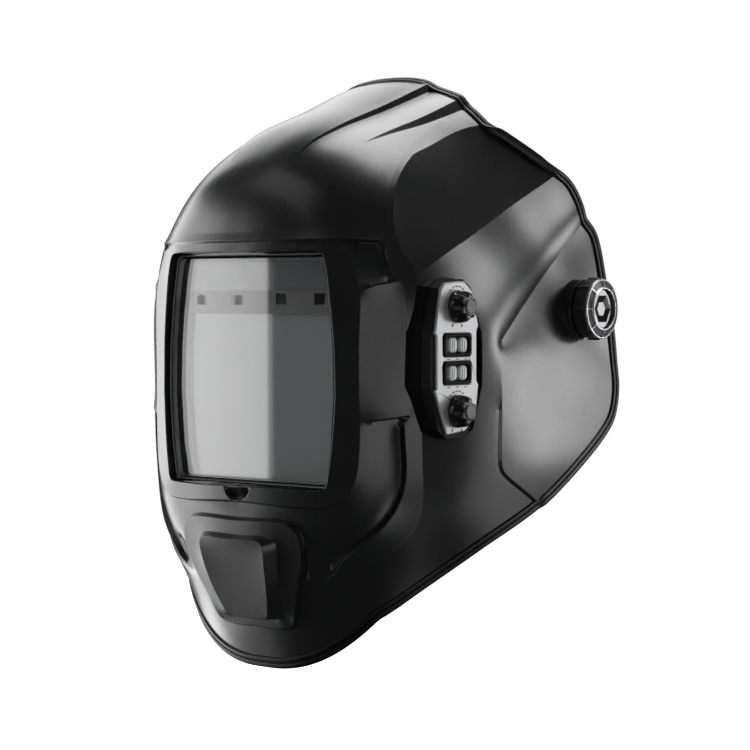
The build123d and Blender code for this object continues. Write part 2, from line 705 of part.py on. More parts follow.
PARTS = [
    outer_shell, cover_lens, lens_gasket, adf_front_frame, adf_housing, adf_lcd_glass, solar_cell,
    arc_sensors, adf_circuit_board, coin_cells, battery_cap_left, battery_cap_right, test_button,
    inner_cover_lens, filter_retainer, retainer_screws, control_housing, control_plate, upper_bezel,
    lower_bezel, upper_switch, lower_switch, upper_slider, lower_slider, shade_pot, sensitivity_pot,
    shade_knob, shade_shaft, sensitivity_knob, sensitivity_shaft, control_board, control_back_cover,
    control_screws, control_lead, headband, front_sweatband, cross_strap, long_strap, arm_left,
    arm_right, pivot_stud_left, pivot_stud_right, friction_washer_left, friction_washer_right,
    tension_grip_left, tension_grip_right, tension_ring_left, tension_ring_right, tension_disc_left,
    tension_disc_right, tension_insert_left, tension_insert_right, ratchet_housing, ratchet_cover,
    rack_left_solid, rack_right_solid, pinion, ratchet_knob, rear_pad,
]
os.makedirs("parts", exist_ok=True)
for piece in PARTS:
    export_step(piece.part, f"parts/{piece.part.label}.step")
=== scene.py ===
import json
import math

import bmesh
import bpy
import numpy as np
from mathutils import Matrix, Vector, geometry

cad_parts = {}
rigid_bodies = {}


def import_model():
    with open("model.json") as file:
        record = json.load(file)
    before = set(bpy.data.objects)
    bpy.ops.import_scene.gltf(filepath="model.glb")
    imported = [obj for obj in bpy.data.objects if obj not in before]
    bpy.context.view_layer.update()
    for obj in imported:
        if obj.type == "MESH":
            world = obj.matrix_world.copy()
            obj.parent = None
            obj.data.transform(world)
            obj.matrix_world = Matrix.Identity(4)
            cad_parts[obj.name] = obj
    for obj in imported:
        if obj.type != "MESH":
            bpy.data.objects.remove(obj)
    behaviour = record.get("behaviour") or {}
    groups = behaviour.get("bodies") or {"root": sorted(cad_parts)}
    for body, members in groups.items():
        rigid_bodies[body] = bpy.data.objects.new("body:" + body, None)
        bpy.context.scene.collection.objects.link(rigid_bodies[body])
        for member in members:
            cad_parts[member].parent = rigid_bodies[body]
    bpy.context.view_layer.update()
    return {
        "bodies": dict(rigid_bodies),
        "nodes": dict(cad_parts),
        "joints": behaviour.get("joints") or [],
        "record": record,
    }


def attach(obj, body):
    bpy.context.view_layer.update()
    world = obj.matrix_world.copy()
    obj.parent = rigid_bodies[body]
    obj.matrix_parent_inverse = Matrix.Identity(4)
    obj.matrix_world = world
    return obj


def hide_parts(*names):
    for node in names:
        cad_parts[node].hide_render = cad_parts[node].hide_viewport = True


for start_object in list(bpy.data.objects):
    bpy.data.objects.remove(start_object)
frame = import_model()
MM = 0.001


# ------------------------------------------------------------------ materials
class Nodes:
    """Small builder for one material's node tree."""

    def __init__(self, name, color, rough, metallic=0.0, spec=0.5):
        self.mat = bpy.data.materials.new(name)
        self.mat.use_nodes = True
        self.tree = self.mat.node_tree
        self.bsdf = self.tree.nodes["Principled BSDF"]
        self.set("Base Color", (*color, 1.0))
        self.set("Roughness", rough)
        self.set("Metallic", metallic)
        self.set("Specular IOR Level", spec)
        self.mat.diffuse_color = (*color, 1.0)
        self.own_frame = self.node("ShaderNodeTexCoord").outputs["Object"]

    def set(self, socket, value):
        self.bsdf.inputs[socket].default_value = value

    def node(self, kind, **values):
        n = self.tree.nodes.new(kind)
        for key, value in values.items():
            if key in n.inputs.keys():
                n.inputs[key].default_value = value
            else:
                setattr(n, key, value)
        return n

    def link(self, a, b):
        self.tree.links.new(a, b)

    def coords(self, scale=(1, 1, 1)):
        """Place in the object's own frame, stretched."""
        m = self.node("ShaderNodeMapping")
        m.inputs["Scale"].default_value = scale
        self.link(self.own_frame, m.inputs["Vector"])
        return m.outputs["Vector"]

    def noise(self, scale, detail=4.0, stretch=(1, 1, 1)):
        n = self.node("ShaderNodeTexNoise", Scale=scale, Detail=detail)
        self.link(self.coords(stretch), n.inputs["Vector"])
        return n.outputs["Fac"]

    def ramp(self, fac, low, high):
        """A factor from 0 to 1, spread between two values."""
        m = self.node("ShaderNodeMapRange")
        m.inputs["To Min"].default_value = low
        m.inputs["To Max"].default_value = high
        self.link(fac, m.inputs["Value"])
        return m.outputs["Result"]

    def tint(self, fac, low, high):
        """Base colour that drifts between two shades."""
        m = self.node("ShaderNodeMix", data_type="RGBA")
        m.inputs[6].default_value = (*low, 1)
        m.inputs[7].default_value = (*high, 1)
        self.link(fac, m.inputs[0])
        self.link(m.outputs[2], self.bsdf.inputs["Base Color"])

    def vary_rough(self, fac, low, high):
        self.link(self.ramp(fac, low, high), self.bsdf.inputs["Roughness"])

    def relief(self, fac, strength, distance, bevel=0.0):
        b = self.node("ShaderNodeBump", Strength=strength, Distance=distance)
        self.link(fac, b.inputs["Height"])
        if bevel:
            v = self.node("ShaderNodeBevel", samples=4, Radius=bevel)
            self.link(v.outputs["Normal"], b.inputs["Normal"])
        self.link(b.outputs["Normal"], self.bsdf.inputs["Normal"])


def shades(color, low, high):
    """A darker and a lighter shade of a colour."""
    return tuple(c * low for c in color), tuple(min(1, c * high) for c in color)


def grained(name, color, rough, grain, depth, bevel=0.0, spread=0.2, spec=0.5):
    """Moulded plastic: slight mottling, fine grain (depth in micrometres) and rounded edges (bevel in mm)."""
    m = Nodes(name, color, rough, spec=spec)
    m.tint(m.noise(60, 3), *shades(color, 1 - spread, 1 + spread))
    m.vary_rough(m.noise(25, 4), rough - 0.04, rough + 0.05)
    m.relief(m.noise(grain, 2), 0.25, depth * 1e-6, bevel * MM)
    return m


def brushed(name, color, rough, stretch, metallic=1.0, bevel=0.3):
    """Metal or metallic paint with fine lines along one axis; bevel in mm."""
    m = Nodes(name, color, rough, metallic)
    lines = m.noise(900, 3, stretch)
    m.tint(m.noise(30, 3), *shades(color, 0.88, 1.08))
    m.vary_rough(lines, rough - 0.06, rough + 0.10)
    m.relief(lines, 0.3, 0.00001, bevel * MM)
    return m


def glassy(name, color, rough, spec, clouds=0.15):
    """Dark polished glass over a coloured layer."""
    m = Nodes(name, color, rough, spec=spec)
    m.tint(m.noise(18, 2), *shades(color, 1 - clouds, 1 + clouds))
    m.vary_rough(m.noise(40, 3), rough, rough + 0.03)
    return m


def woven(name, color, threads):
    """Knitted cloth over foam: crossing threads, fluff and a soft sheen."""
    m = Nodes(name, color, 0.9, spec=0.25)
    m.set("Sheen Weight", 0.5)
    m.set("Sheen Roughness", 0.6)
    both = m.node("ShaderNodeMath", operation="MULTIPLY")
    for k, way in enumerate(("Z", "DIAGONAL")):
        wave = m.node("ShaderNodeTexWave", bands_direction=way, Scale=threads, Distortion=0.6)
        m.link(m.coords(), wave.inputs["Vector"])
        m.link(wave.outputs["Fac"], both.inputs[k])
    m.tint(both.outputs[0], *shades(color, 0.55, 1.5))
    m.vary_rough(m.noise(200, 3), 0.82, 0.98)
    m.relief(both.outputs[0], 0.6, 0.0004)
    return m


def clear_sheet(name, tint, gain, fade, spots=(), half=(0.0029, 0.0026)):
    """Thin clear plastic: see through, with a mirror layer that runs from gain at one side to fade at the
    other, a painted reflection where the two differ. Spots are (x, z) in the object's own frame where that
    painted reflection is weakened, over the sensor windows behind."""
    m = Nodes(name, tint, 0.02)
    through = m.node("ShaderNodeBsdfTransparent", Color=(*tint, 1))
    mirror = m.node("ShaderNodeBsdfGlossy", Roughness=0.02, Color=(1, 1, 1, 1))
    split = m.node("ShaderNodeSeparateXYZ")
    m.link(m.coords(), split.inputs[0])
    # painted reflection: the mirror's strength is set by place along the lens's own X, from gain to fade
    side = m.node("ShaderNodeMapRange")
    for socket, value in zip(("From Min", "From Max", "To Min", "To Max"), (-0.06, 0.06, gain, fade)):
        side.inputs[socket].default_value = value
    m.link(split.outputs["X"], side.inputs["Value"])
    haze_and_painted_reflection = m.node("ShaderNodeMath", operation="MULTIPLY_ADD")
    m.link(m.noise(35, 3), haze_and_painted_reflection.inputs[0])
    haze_and_painted_reflection.inputs[1].default_value = 0.006
    m.link(side.outputs["Result"], haze_and_painted_reflection.inputs[2])
    amount = haze_and_painted_reflection.outputs[0]
    # weaken the painted reflection over each spot
    for spot in spots:
        hit = []
        for axis, at, reach in zip("XZ", spot, half):
            near = m.node("ShaderNodeMath", operation="COMPARE")
            m.link(split.outputs[axis], near.inputs[0])
            near.inputs[1].default_value = at
            near.inputs[2].default_value = reach
            hit.append(near.outputs[0])
        both = m.node("ShaderNodeMath", operation="MULTIPLY")
        m.link(hit[0], both.inputs[0])
        m.link(hit[1], both.inputs[1])
        weaker = m.node("ShaderNodeMath", operation="MULTIPLY")
        m.link(amount, weaker.inputs[0])
        m.link(m.ramp(both.outputs[0], 1.0, 0.4), weaker.inputs[1])
        amount = weaker.outputs[0]
    mix = m.node("ShaderNodeMixShader")
    m.link(amount, mix.inputs[0])
    m.link(through.outputs[0], mix.inputs[1])
    m.link(mirror.outputs[0], mix.inputs[2])
    m.link(mix.outputs[0], m.tree.nodes["Material Output"].inputs["Surface"])
    return m


# the two arc sensors on the side of the cover lens that carries its painted reflection, in the lens's own
# frame; the painted reflection is weakened over them
into_lens = bpy.data.objects["cover_lens"].matrix_world.inverted()
SENSOR_SPOTS = [(p.x, p.z) for p in (into_lens @ Vector((x, -0.1575, 0.0049)) for x in (-0.0388, -0.0121))]
# colour, roughness, grain scale, grain depth (micrometres), edge radius (mm), mottling, specular level
PLASTICS = {
    "matt_black": ((0.02, 0.02, 0.021), 0.48, 1800, 30, 0.4),
    "deep_black": ((0.004, 0.004, 0.0042), 0.6, 1800, 20, 0.4, 0.2, 0.12),
    "knob_black": ((0.008, 0.008, 0.0082), 0.3, 2200, 10, 0.4),
    "grip_black": ((0.02, 0.02, 0.02), 0.4, 1400, 30, 0.4),
    "shell_satin": ((0.014, 0.014, 0.0145), 0.27, 3000, 12, 0.7),
    "rim_black": ((0.005, 0.005, 0.0052), 0.42, 3000, 10, 0.0, 0.2, 0.3),
    "rubber": ((0.012, 0.012, 0.012), 0.75, 900, 50, 0.3),
    "nylon": ((0.045, 0.045, 0.05), 0.5, 1200, 40, 0.4),
    "cartridge": ((0.008, 0.008, 0.0085), 0.35, 2600, 4, 0.0, 0.2, 0.35),
    # the lens rim's light grey is a painted highlight along the lens's edge
    "painted_lens_edge_highlight": ((0.28, 0.28, 0.285), 0.2, 2600, 4, 0.0, 0.05),
    "tip": ((0.045, 0.045, 0.046), 0.45, 1600, 20, 0.4),
    "lobe": ((0.62, 0.62, 0.62), 0.38, 2000, 10, 0.3, 0.06),
    "cap": ((0.1, 0.1, 0.105), 0.5, 1600, 30, 0.4),
    "red": ((0.42, 0.03, 0.025), 0.4, 1800, 20, 0.3),
    "acetal": ((0.3, 0.3, 0.31), 0.45, 1800, 20, 0.3),
    "board": ((0.02, 0.12, 0.05), 0.35, 500, 60, 0.0, 0.5),
    "disc": ((0.006, 0.006, 0.006), 0.1, 2600, 4, 0.3),
    "mark": ((0.02, 0.02, 0.02), 0.6, 2600, 10),
}
PALETTE = {name: grained(name, *values) for name, values in PLASTICS.items()}
PALETTE |= {
    "filter": glassy("filter", (0.22, 0.222, 0.224), 0.015, 0.9, 0.05),
    "solar": glassy("solar", (0.11, 0.11, 0.113), 0.03, 0.7),
    "sensor": glassy("sensor", (0.003, 0.003, 0.004), 0.08, 0.2),
    # cover lens: a painted reflection, mirror strength 0.12 at one side fading to 0.012 at the other
    "lens": clear_sheet("lens", (0.98, 0.98, 0.98), 0.12, 0.012, SENSOR_SPOTS),
    "inner_lens": clear_sheet("inner_lens", (0.95, 0.96, 0.96), 0.05, 0.05),
    "silver": brushed("silver", (0.36, 0.36, 0.365), 0.42, (1, 1, 0.06), 0.5, 0.6),
    "ring": brushed("ring", (0.5, 0.5, 0.51), 0.28, (1, 0.2, 0.2), 0.9, 0.5),
    # darker copy of the ring's metal for its recesses: painted shade
    "painted_recess_shade": brushed("painted_recess_shade", (0.1, 0.1, 0.102), 0.42, (1, 0.2, 0.2), 0.6, 0.0),
    "steel": brushed("steel", (0.55, 0.55, 0.57), 0.32, (1, 0.15, 1)),
    "brass": brushed("brass", (0.72, 0.53, 0.22), 0.3, (0.15, 1, 1)),
    "fabric": woven("fabric", (0.03, 0.03, 0.034), 260),
}
DRESS = {
    "lens": ["cover_lens"], "inner_lens": ["inner_cover_lens"], "rubber": ["lens_gasket", "control_lead"],
    "cartridge": ["adf_front_frame", "adf_housing"], "filter": ["adf_lcd_glass"], "solar": ["solar_cell"],
    "sensor": ["arc_sensors"], "board": ["adf_circuit_board", "control_board"], "red": ["test_button"],
    "cap": ["battery_cap_left", "battery_cap_right"], "deep_black": ["control_housing"],
    "steel": ["coin_cells", "retainer_screws", "control_screws", "shade_pot", "sensitivity_pot",
              "shade_shaft", "sensitivity_shaft"],
    "matt_black": ["filter_retainer", "control_back_cover", "upper_switch_body", "lower_switch_body",
                   "arm_left", "arm_right", "pivot_stud_left", "pivot_stud_right", "ratchet_housing",
                   "ratchet_cover"],
    "nylon": ["headband", "cross_strap", "long_strap", "rack_left", "rack_right"],
    "acetal": ["friction_washer_left", "friction_washer_right", "pinion"],
    "brass": ["tension_insert_left", "tension_insert_right"],
}
for dress_shade, nodes in DRESS.items():
    for node in nodes:
        part = bpy.data.objects[node]
        part.data.materials.clear()
        part.data.materials.append(PALETTE[dress_shade].mat)


# ------------------------------------------------------------------ mesh helpers
def piece(name, verts, faces, shade, body, replaces=(), sharp=None, angle=None):
    """Smooth mesh object from millimetres, riding on a body. Its sharp edges are given, or found by angle."""
    mesh = bpy.data.meshes.new(name)
    points = [tuple(v) for v in np.asarray(verts, float) * MM]
    mesh.from_pydata(points, [], [list(map(int, f)) for f in faces])
    mesh.validate()
    mesh.materials.append(PALETTE[shade].mat)
    obj = bpy.data.objects.new(name, mesh)
    bpy.context.scene.collection.objects.link(obj)
    mesh.polygons.foreach_set("use_smooth", [True] * len(mesh.polygons))
    if sharp:
        flags = [tuple(sorted(e.vertices)) in sharp for e in mesh.edges]
        att = mesh.attributes.get("sharp_edge") or mesh.attributes.new("sharp_edge", "BOOLEAN", "EDGE")
        att.data.foreach_set("value", flags)
    if angle:
        mesh.set_sharp_from_angle(angle=math.radians(angle))
    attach(obj, body)
    if replaces:
        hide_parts(*replaces)
    return obj


def tube_faces(rows, n, base=0, joined=False):
    """Quads between rings of n points each, where joined also links the last ring to the first."""
    faces = []
    for r in range(rows if joined else rows - 1):
        a, b = base + r * n, base + (r + 1) % rows * n
        faces += [[a + k, a + (k + 1) % n, b + (k + 1) % n, b + k] for k in range(n)]
    return faces


def turn(n):
    """n angles round a full turn."""
    return np.linspace(0, 2 * math.pi, n + 1)[:-1]


def round_outline(u, v, radius, n=48):
    return np.stack([u + radius * np.cos(turn(n)), v + radius * np.sin(turn(n))], -1)


# ------------------------------------------------------------------ smooth skin of the helmet (mm)
HALF_WIDTH = 112.0
FAN = (60.0, -60.0)             # y, z of the line that every row of the skin runs back to
ROWS = [                        # front point (y, z), side power, depth power
    (-140, -212, 2.4, 2.5), (-148, -194, 2.45, 2.7), (-157, -164, 2.5, 3.1), (-169, -128, 2.7, 3.8),
    (-171, -95, 2.8, 4.6), (-171, -30, 2.8, 5.0), (-171, 15, 2.8, 4.8), (-171, 40, 2.6, 4.0),
    (-161, 71, 2.35, 3.2), (-132, 95, 2.15, 2.75), (-88, 111, 2.1, 2.7), (-36, 129, 2.2, 3.1),
    (0, 137, 2.2, 3.3),
]


def spline(t, values, at):
    """Natural cubic spline through values at knots t."""
    n = len(t)
    a = np.zeros((n, n))
    b = np.zeros(n)
    a[0, 0] = a[-1, -1] = 1
    h = np.diff(t)
    for i in range(1, n - 1):
        a[i, i - 1:i + 2] = h[i - 1], 2 * (h[i - 1] + h[i]), h[i]
        b[i] = 6 * ((values[i + 1] - values[i]) / h[i] - (values[i] - values[i - 1]) / h[i - 1])
    m = np.linalg.solve(a, b)
    k = np.clip(np.searchsorted(t, at) - 1, 0, n - 2)
    u, v, w = at - t[k], t[k + 1] - at, h[k]
    return (m[k] * v ** 3 + m[k + 1] * u ** 3) / (6 * w) + (values[k] / w - m[k] * w / 6) * v + (
        values[k + 1] / w - m[k + 1] * w / 6) * u


class Skin:
    """Rows that fan about a line, tabulated by angle (degrees) and share of a row's length."""

    STEPS, SHARES = 420, 640

    def __init__(self):
        rows = np.array(ROWS, float)
        knots = np.concatenate([[0], np.cumsum(np.hypot(*np.diff(rows[:, :2], axis=0).T))])
        at = np.linspace(0, knots[-1], 1600)
        y, z, side, depth = (spline(knots, rows[:, i], at) for i in range(4))
        angle = np.degrees(np.arctan2(z - FAN[1], FAN[0] - y))
        reach = np.hypot(y - FAN[0], z - FAN[1])
        self.phi = np.linspace(angle[0], angle[-1], self.STEPS)
        self.reach, self.side, self.depth = (np.interp(self.phi, angle, v) for v in (reach, side, depth))
        th = (np.linspace(0, 1, 1500) ** 1.4) * math.pi / 2
        x = HALF_WIDTH * np.sin(th)[None] ** (2 / self.side[:, None])
        q = np.cos(th)[None] ** (2 / self.depth[:, None])
        d = self.reach[:, None] * q
        walked = np.cumsum(np.hypot(np.diff(x), np.diff(d)), axis=1)
        run = np.concatenate([np.zeros((self.STEPS, 1)), walked], axis=1)
        self.length = run[:, -1]
        t = np.linspace(0, 1, self.SHARES)
        self.x = np.array([np.interp(t * n, r, v) for n, r, v in zip(self.length, run, x)])
        self.d = np.array([np.interp(t * n, r, v) for n, r, v in zip(self.length, run, d)])

    def _cell(self, phi):
        f = np.clip((phi - self.phi[0]) / (self.phi[1] - self.phi[0]), 0, self.STEPS - 1.001)
        i = f.astype(int)
        return i, f - i

    def _row(self, phi):
        """x and depth all along the row at one angle."""
        i, a = self._cell(np.array([phi]))
        i, a = int(i[0]), float(a[0])
        return self.x[i] * (1 - a) + self.x[i + 1] * a, self.d[i] * (1 - a) + self.d[i + 1] * a

    def _place(self, phi, t):
        return self.flat(np.array([phi]), np.array([t]))[0]

    def point(self, phi, t):
        i, a = self._cell(phi)
        g = np.clip(t, 0, 1) * (self.SHARES - 1)
        j = np.minimum(g.astype(int), self.SHARES - 2)
        b = g - j
        out = []
        for tab in (self.x, self.d):
            out.append((tab[i, j] * (1 - b) + tab[i, j + 1] * b) * (1 - a)
                       + (tab[i + 1, j] * (1 - b) + tab[i + 1, j + 1] * b) * a)
        rad = np.radians(phi)
        return np.stack([out[0], FAN[0] - out[1] * np.cos(rad), FAN[1] + out[1] * np.sin(rad)], -1)

    def flat(self, phi, t):
        """Flat chart: near true lengths, t = 0 is the middle line of the helmet."""
        r = np.interp(phi, self.phi, self.length) * (1 - t)
        a = np.radians(phi)
        return np.stack([-r * np.cos(a), r * np.sin(a)], -1)

    def unflat(self, uv):
        phi = np.degrees(np.arctan2(uv[:, 1], -uv[:, 0]))
        t = 1 - np.hypot(uv[:, 0], uv[:, 1]) / np.interp(phi, self.phi, self.length)
        return phi, t

    def near(self, p):
        """Chart place of the skin point nearest to a point, within its own row."""
        phi = math.degrees(math.atan2(p[2] - FAN[1], FAN[0] - p[1]))
        x, d = self._row(phi)
        j = int(np.argmin((x - abs(p[0])) ** 2 + (d - math.hypot(p[1] - FAN[0], p[2] - FAN[1])) ** 2))
        return self._place(phi, j / (self.SHARES - 1))

    def seen_side(self, y, z):
        """Chart place of the skin point at (y, z) seen from the side."""
        phi = math.degrees(math.atan2(z - FAN[1], FAN[0] - y))
        d = self._row(phi)[1]
        t = np.interp(-math.hypot(y - FAN[0], z - FAN[1]), -d, np.linspace(0, 1, self.SHARES))
        return self._place(phi, t)

    def seen_front(self, x, z):
        """Chart place of the skin point at (x, z) seen from the front."""
        lo, hi = self.phi[0], self.phi[-1]
        for _ in range(40):
            mid = (lo + hi) / 2
            t = np.interp(abs(x), self._row(mid)[0], np.linspace(0, 1, self.SHARES))
            if self.point(np.array([mid]), np.array([t]))[0, 2] < z:
                lo = mid
            else:
                hi = mid
        return self._place(mid, t)

    def normal(self, phi, t):
        """Outward normals, from points 0.4 mm to each side."""
        e = 0.4
        r = np.interp(phi, self.phi, self.length)
        dt, dp = e / r, math.degrees(1) * e / 200
        a = self.point(phi, np.clip(t + dt, 0, 1)) - self.point(phi, np.clip(t - dt, 0, 1))
        b = self.point(np.clip(phi + dp, self.phi[0], self.phi[-1]), t) - self.point(
            np.clip(phi - dp, self.phi[0], self.phi[-1]), t)
        n = np.cross(a, b)
        n[t < 1e-6, 0] = 0
        return n / np.maximum(np.linalg.norm(n, axis=1), 1e-9)[:, None]


skin = Skin()


def between(u, k0, k1, p0, p1):
    return (k1 - u) / (k1 - k0) * p0 + (u - k0) / (k1 - k0) * p1


def dense(points, step=1.6, curved=True):
    """Evenly spaced points on a chart line: columns 0 and 1 are its place, column 2 its height.
    A curved line is a centripetal Catmull-Rom spline through the points."""
    p = np.asarray(points, float)
    if curved and len(p) > 2:
        ext = np.vstack([2 * p[0] - p[1], p, 2 * p[-1] - p[-2]])
        out = []
        for k in range(1, len(ext) - 2):
            corners = ext[k - 1:k + 3]
            kn = [0.0]
            for s, e in zip(corners, corners[1:]):
                kn.append(kn[-1] + max(1e-3, np.linalg.norm(e[:2] - s[:2]) ** 0.5))
            for u in np.linspace(kn[1], kn[2], 12, endpoint=False):
                level = [between(u, kn[i], kn[i + 1], corners[i], corners[i + 1]) for i in range(3)]
                level = [between(u, kn[i], kn[i + 2], level[i], level[i + 1]) for i in range(2)]
                out.append(between(u, kn[1], kn[2], *level))
        p = np.vstack(out + [p[-1:]])
    run = np.concatenate([[0], np.cumsum(np.linalg.norm(np.diff(p[:, :2], axis=0), axis=1))])
    count = max(2, int(round(run[-1] / step)) + 1)
    at = np.linspace(0, run[-1], count)
    return np.stack([np.interp(at, run, p[:, i]) for i in range(p.shape[1])], -1)


def shifted(line, by):
    """Chart line moved sideways, to its left for positive values."""
    g = np.gradient(line[:, :2], axis=0)
    g /= np.maximum(np.linalg.norm(g, axis=1), 1e-9)[:, None]
    out = line.copy()
    by = np.asarray(by, float).reshape(-1, 1) if np.ndim(by) else by
    out[:, :2] += np.stack([-g[:, 1], g[:, 0]], -1) * by
    return out


def inside(uv, poly):
    """Which chart points lie in a polygon."""
    x, y = uv[:, 0], uv[:, 1]
    hit = np.zeros(len(uv), bool)
    a = np.asarray(poly)[:, :2]
    for (x0, y0), (x1, y1) in zip(a, np.roll(a, -1, axis=0)):
        if y0 == y1:
            continue
        cross = (y0 > y) != (y1 > y)
        hit ^= cross & (x < (x1 - x0) * (y - y0) / (y1 - y0) + x0)
    return hit


def crease(points, heights, curved=True):
    """Line on the skin through points in mm, with one height for all or one each."""
    h = np.broadcast_to(np.asarray(heights, float), (len(points),))
    uv = np.array([skin.near(p) for p in points])
    return dense(np.column_stack([uv, h]), curved=curved)


def unit(v):
    return v / np.maximum(np.linalg.norm(v, axis=-1, keepdims=True), 1e-9)


# ------------------------------------------------------------------ feature lines of the shell (mm)
# Points are (x, y, z) on the skin. The rim's are (y, z) seen from the side, the window's and the notch's
# (x, z) seen from the front, and CHIN_TOP's (x, z, height). A height is how far a line stands proud of the
# smooth skin.
RIM_SIDE = [(-37, 98), (-15, 82), (3, 73), (14, 52), (21, 44), (26, 14), (31, -12), (33, -30), (34, -46),
            (29, -62), (18, -72), (-30, -100), (-46, -108), (-88, -127), (-116, -145), (-134, -162)]
FRAME_H = 1.2                   # the front frame's face
BRIM_FLAT = 0.62                # share of the brim's foot that lies on the front frame
FRAME_OUT = [(0, -170.5, -100.5), (15, -170.5, -101), (41, -167.5, -102), (56, -162.5, -100.5),
             (64, -159.5, -95), (68.5, -157.5, -88), (70.6, -157.3, -73.5), (71, -157.5, -57.5),
             (70.8, -157.2, -46), (70.4, -156.6, -15.5), (70.2, -156.4, 9), (68, -157, 18.5),
             (65, -158, 28), (63.6, -158.2, 31.5)]
BRIM = [(0, -171.5, 40.3), (28, -169.5, 40.4), (45, -164, 40.4), (58.5, -157.5, 40.4), (67, -150, 40.4),
        (75.5, -140, 40.5)]
BRIM_LOW = [(0, -171.5, 36), (28, -169.8, 36), (40, -167.5, 36), (57.5, -160, 36), (67, -152.5, 35.7),
            (75.5, -143.5, 35)]
POCKET_EDGE = [(75.5, -143.5, 35), (79, -144.5, 25.5), (82, -144.5, 16.5)]
PLATE_TOP = [(70.2, -156.4, 9), (76, -151, 12), (82, -144.5, 13.6), (85.5, -140.5, 14.5)]
PLATE_EDGE = [(85.5, -140.5, 14.5), (87.3, -140.5, 0), (88.5, -139.5, -20.5), (89.3, -139, -38.5),
              (90, -139, -54)]
PLATE_LOW = [(71, -157.5, -57.5), (80, -150, -56), (90, -139, -54)]
SCOOP_EDGE = [(88, -142, -56.5), (88, -141, -67), (87.5, -140, -82.5), (86, -140, -92.5),
              (82.5, -142, -103), (76, -147, -113.5), (68, -152.5, -121.5), (58, -156, -130.5),
              (53.5, -156.5, -137), (46.5, -157.5, -142)]
BAND_OUT = [(72.5, -130.5, 56), (76, -136, 43.5), (80.5, -137, 33), (85, -135, 24.5), (88.5, -133.5, 18),
            (91, -134.3, 0), (92, -134, -21), (93, -134, -46.5), (92.6, -133, -77), (91.5, -130.8, -98.5),
            (89.5, -131, -106), (85.5, -133.5, -115.5), (78, -139.5, -125.5), (64, -148.5, -136.5),
            (54.5, -153, -142), (44, -156, -147)]
BAND_IN_TOP = [(75.5, -140, 40.5), (70.5, -136, 50), (67, -129.5, 60.5), (63.5, -119, 71),
               (58, -98.5, 85.5), (53.5, -72.5, 99), (52.5, -60, 105)]
FACET_LEFT = [(72.5, -130.5, 56), (69.3, -126, 62.5), (66, -117, 70), (61.5, -98, 83), (58.5, -80, 92),
              (56.5, -66, 98.5)]
FACET_TOP = [(61.5, -98, 83), (61, -84.5, 87.5), (61.5, -55, 98.5), (67, -33, 103.5)]
FACET_LOW = [(88.5, -133, 18), (92.5, -108.5, 30.5), (92.5, -59.5, 51.5), (93, -1, 77.5)]
EAR_EDGE = [(103, 14, 52), (103, -17.5, 27), (105.5, -42, 10.5), (108, -65.5, -6), (108.5, -79, -17),
            (108.6, -81.5, -21), (108.5, -83, -48), (107.5, -82, -83), (107.8, -79, -87), (108, -54, -101),
            (108, -44, -107)]
CHIN_OUT = [(0, -170.5, -111), (30, -169.5, -110.7), (35.5, -168, -112.5), (38.8, -167, -117.5),
            (39, -165.5, -125), (36, -162, -138), (31, -158.5, -152), (26, -154.5, -164),
            (24, -153.8, -167.2), (21, -154, -168.6), (0, -155.5, -168.8)]
CHIN_IN = [(0, -170, -118.5), (24, -169, -118.6), (26, -168.6, -121), (25.4, -166.5, -131),
           (22.6, -162, -147), (18.6, -157, -161.5), (16.5, -156.5, -163.4), (0, -157, -163.6)]
CHIN_TOP = [(0, -119.8, 8.4), (19.4, -119.9, 8.2), (21.2, -122.2, 8.2), (20.6, -131.5, 8.0),
            (17.8, -147, 7.6), (13.8, -160.2, 6.8), (12, -161.8, 6.4), (0, -162, 6.2)]
RAMP = [(42, -164.5, -125.5), (54.5, -158, -126.5), (50, -157, -136), (40, -160, -141),
        (42, -164.5, -125.5)]
NOTCH = [(0, -101.2), (4, -100.4), (7.2, -98.0), (9, -94.6)]
SPINE = [(21, -152.5, 78), (23.5, -138, 87.5), (25.5, -115, 98), (26.5, -84.5, 109), (27.5, -38, 122.5)]
STEP = [(44, -119.5, 88.5), (45, -98, 96.5), (46.5, -70, 105), (48.5, -36, 117)]
WINDOW = [(0, 30), (49, 30), (51.5, 29.3), (53, 27), (56.5, 5), (58.8, -20), (59.3, -45), (57.4, -72),
          (54.8, -90), (53.4, -92.7), (51, -93.5), (0, -93.5)]


def tapered(line, by0, by1, h0, h1, part=1.0):
    """Foot of a step: the line moved sideways by a growing width, with a changing height."""
    n = max(2, int(len(line) * part))
    out = shifted(line[:n], np.linspace(by0, by1, n))
    out[:, 2] = np.linspace(h0, h1, n)
    return out


def to_the_middle(line):
    """Line whose ends near the middle of the helmet run on a little past it."""
    for end, step in ((0, 1), (-1, -1)):
        _, t = skin.unflat(line[[end], :2])
        if t[0] < 0.03:
            way = unit(line[end, :2] - line[end + 4 * step, :2])
            more = line[end].copy()
            more[:2] += way * max(3.0, 1.5 + t[0] * 320)
            line = np.vstack([more, line]) if end == 0 else np.vstack([line, more])
    return line


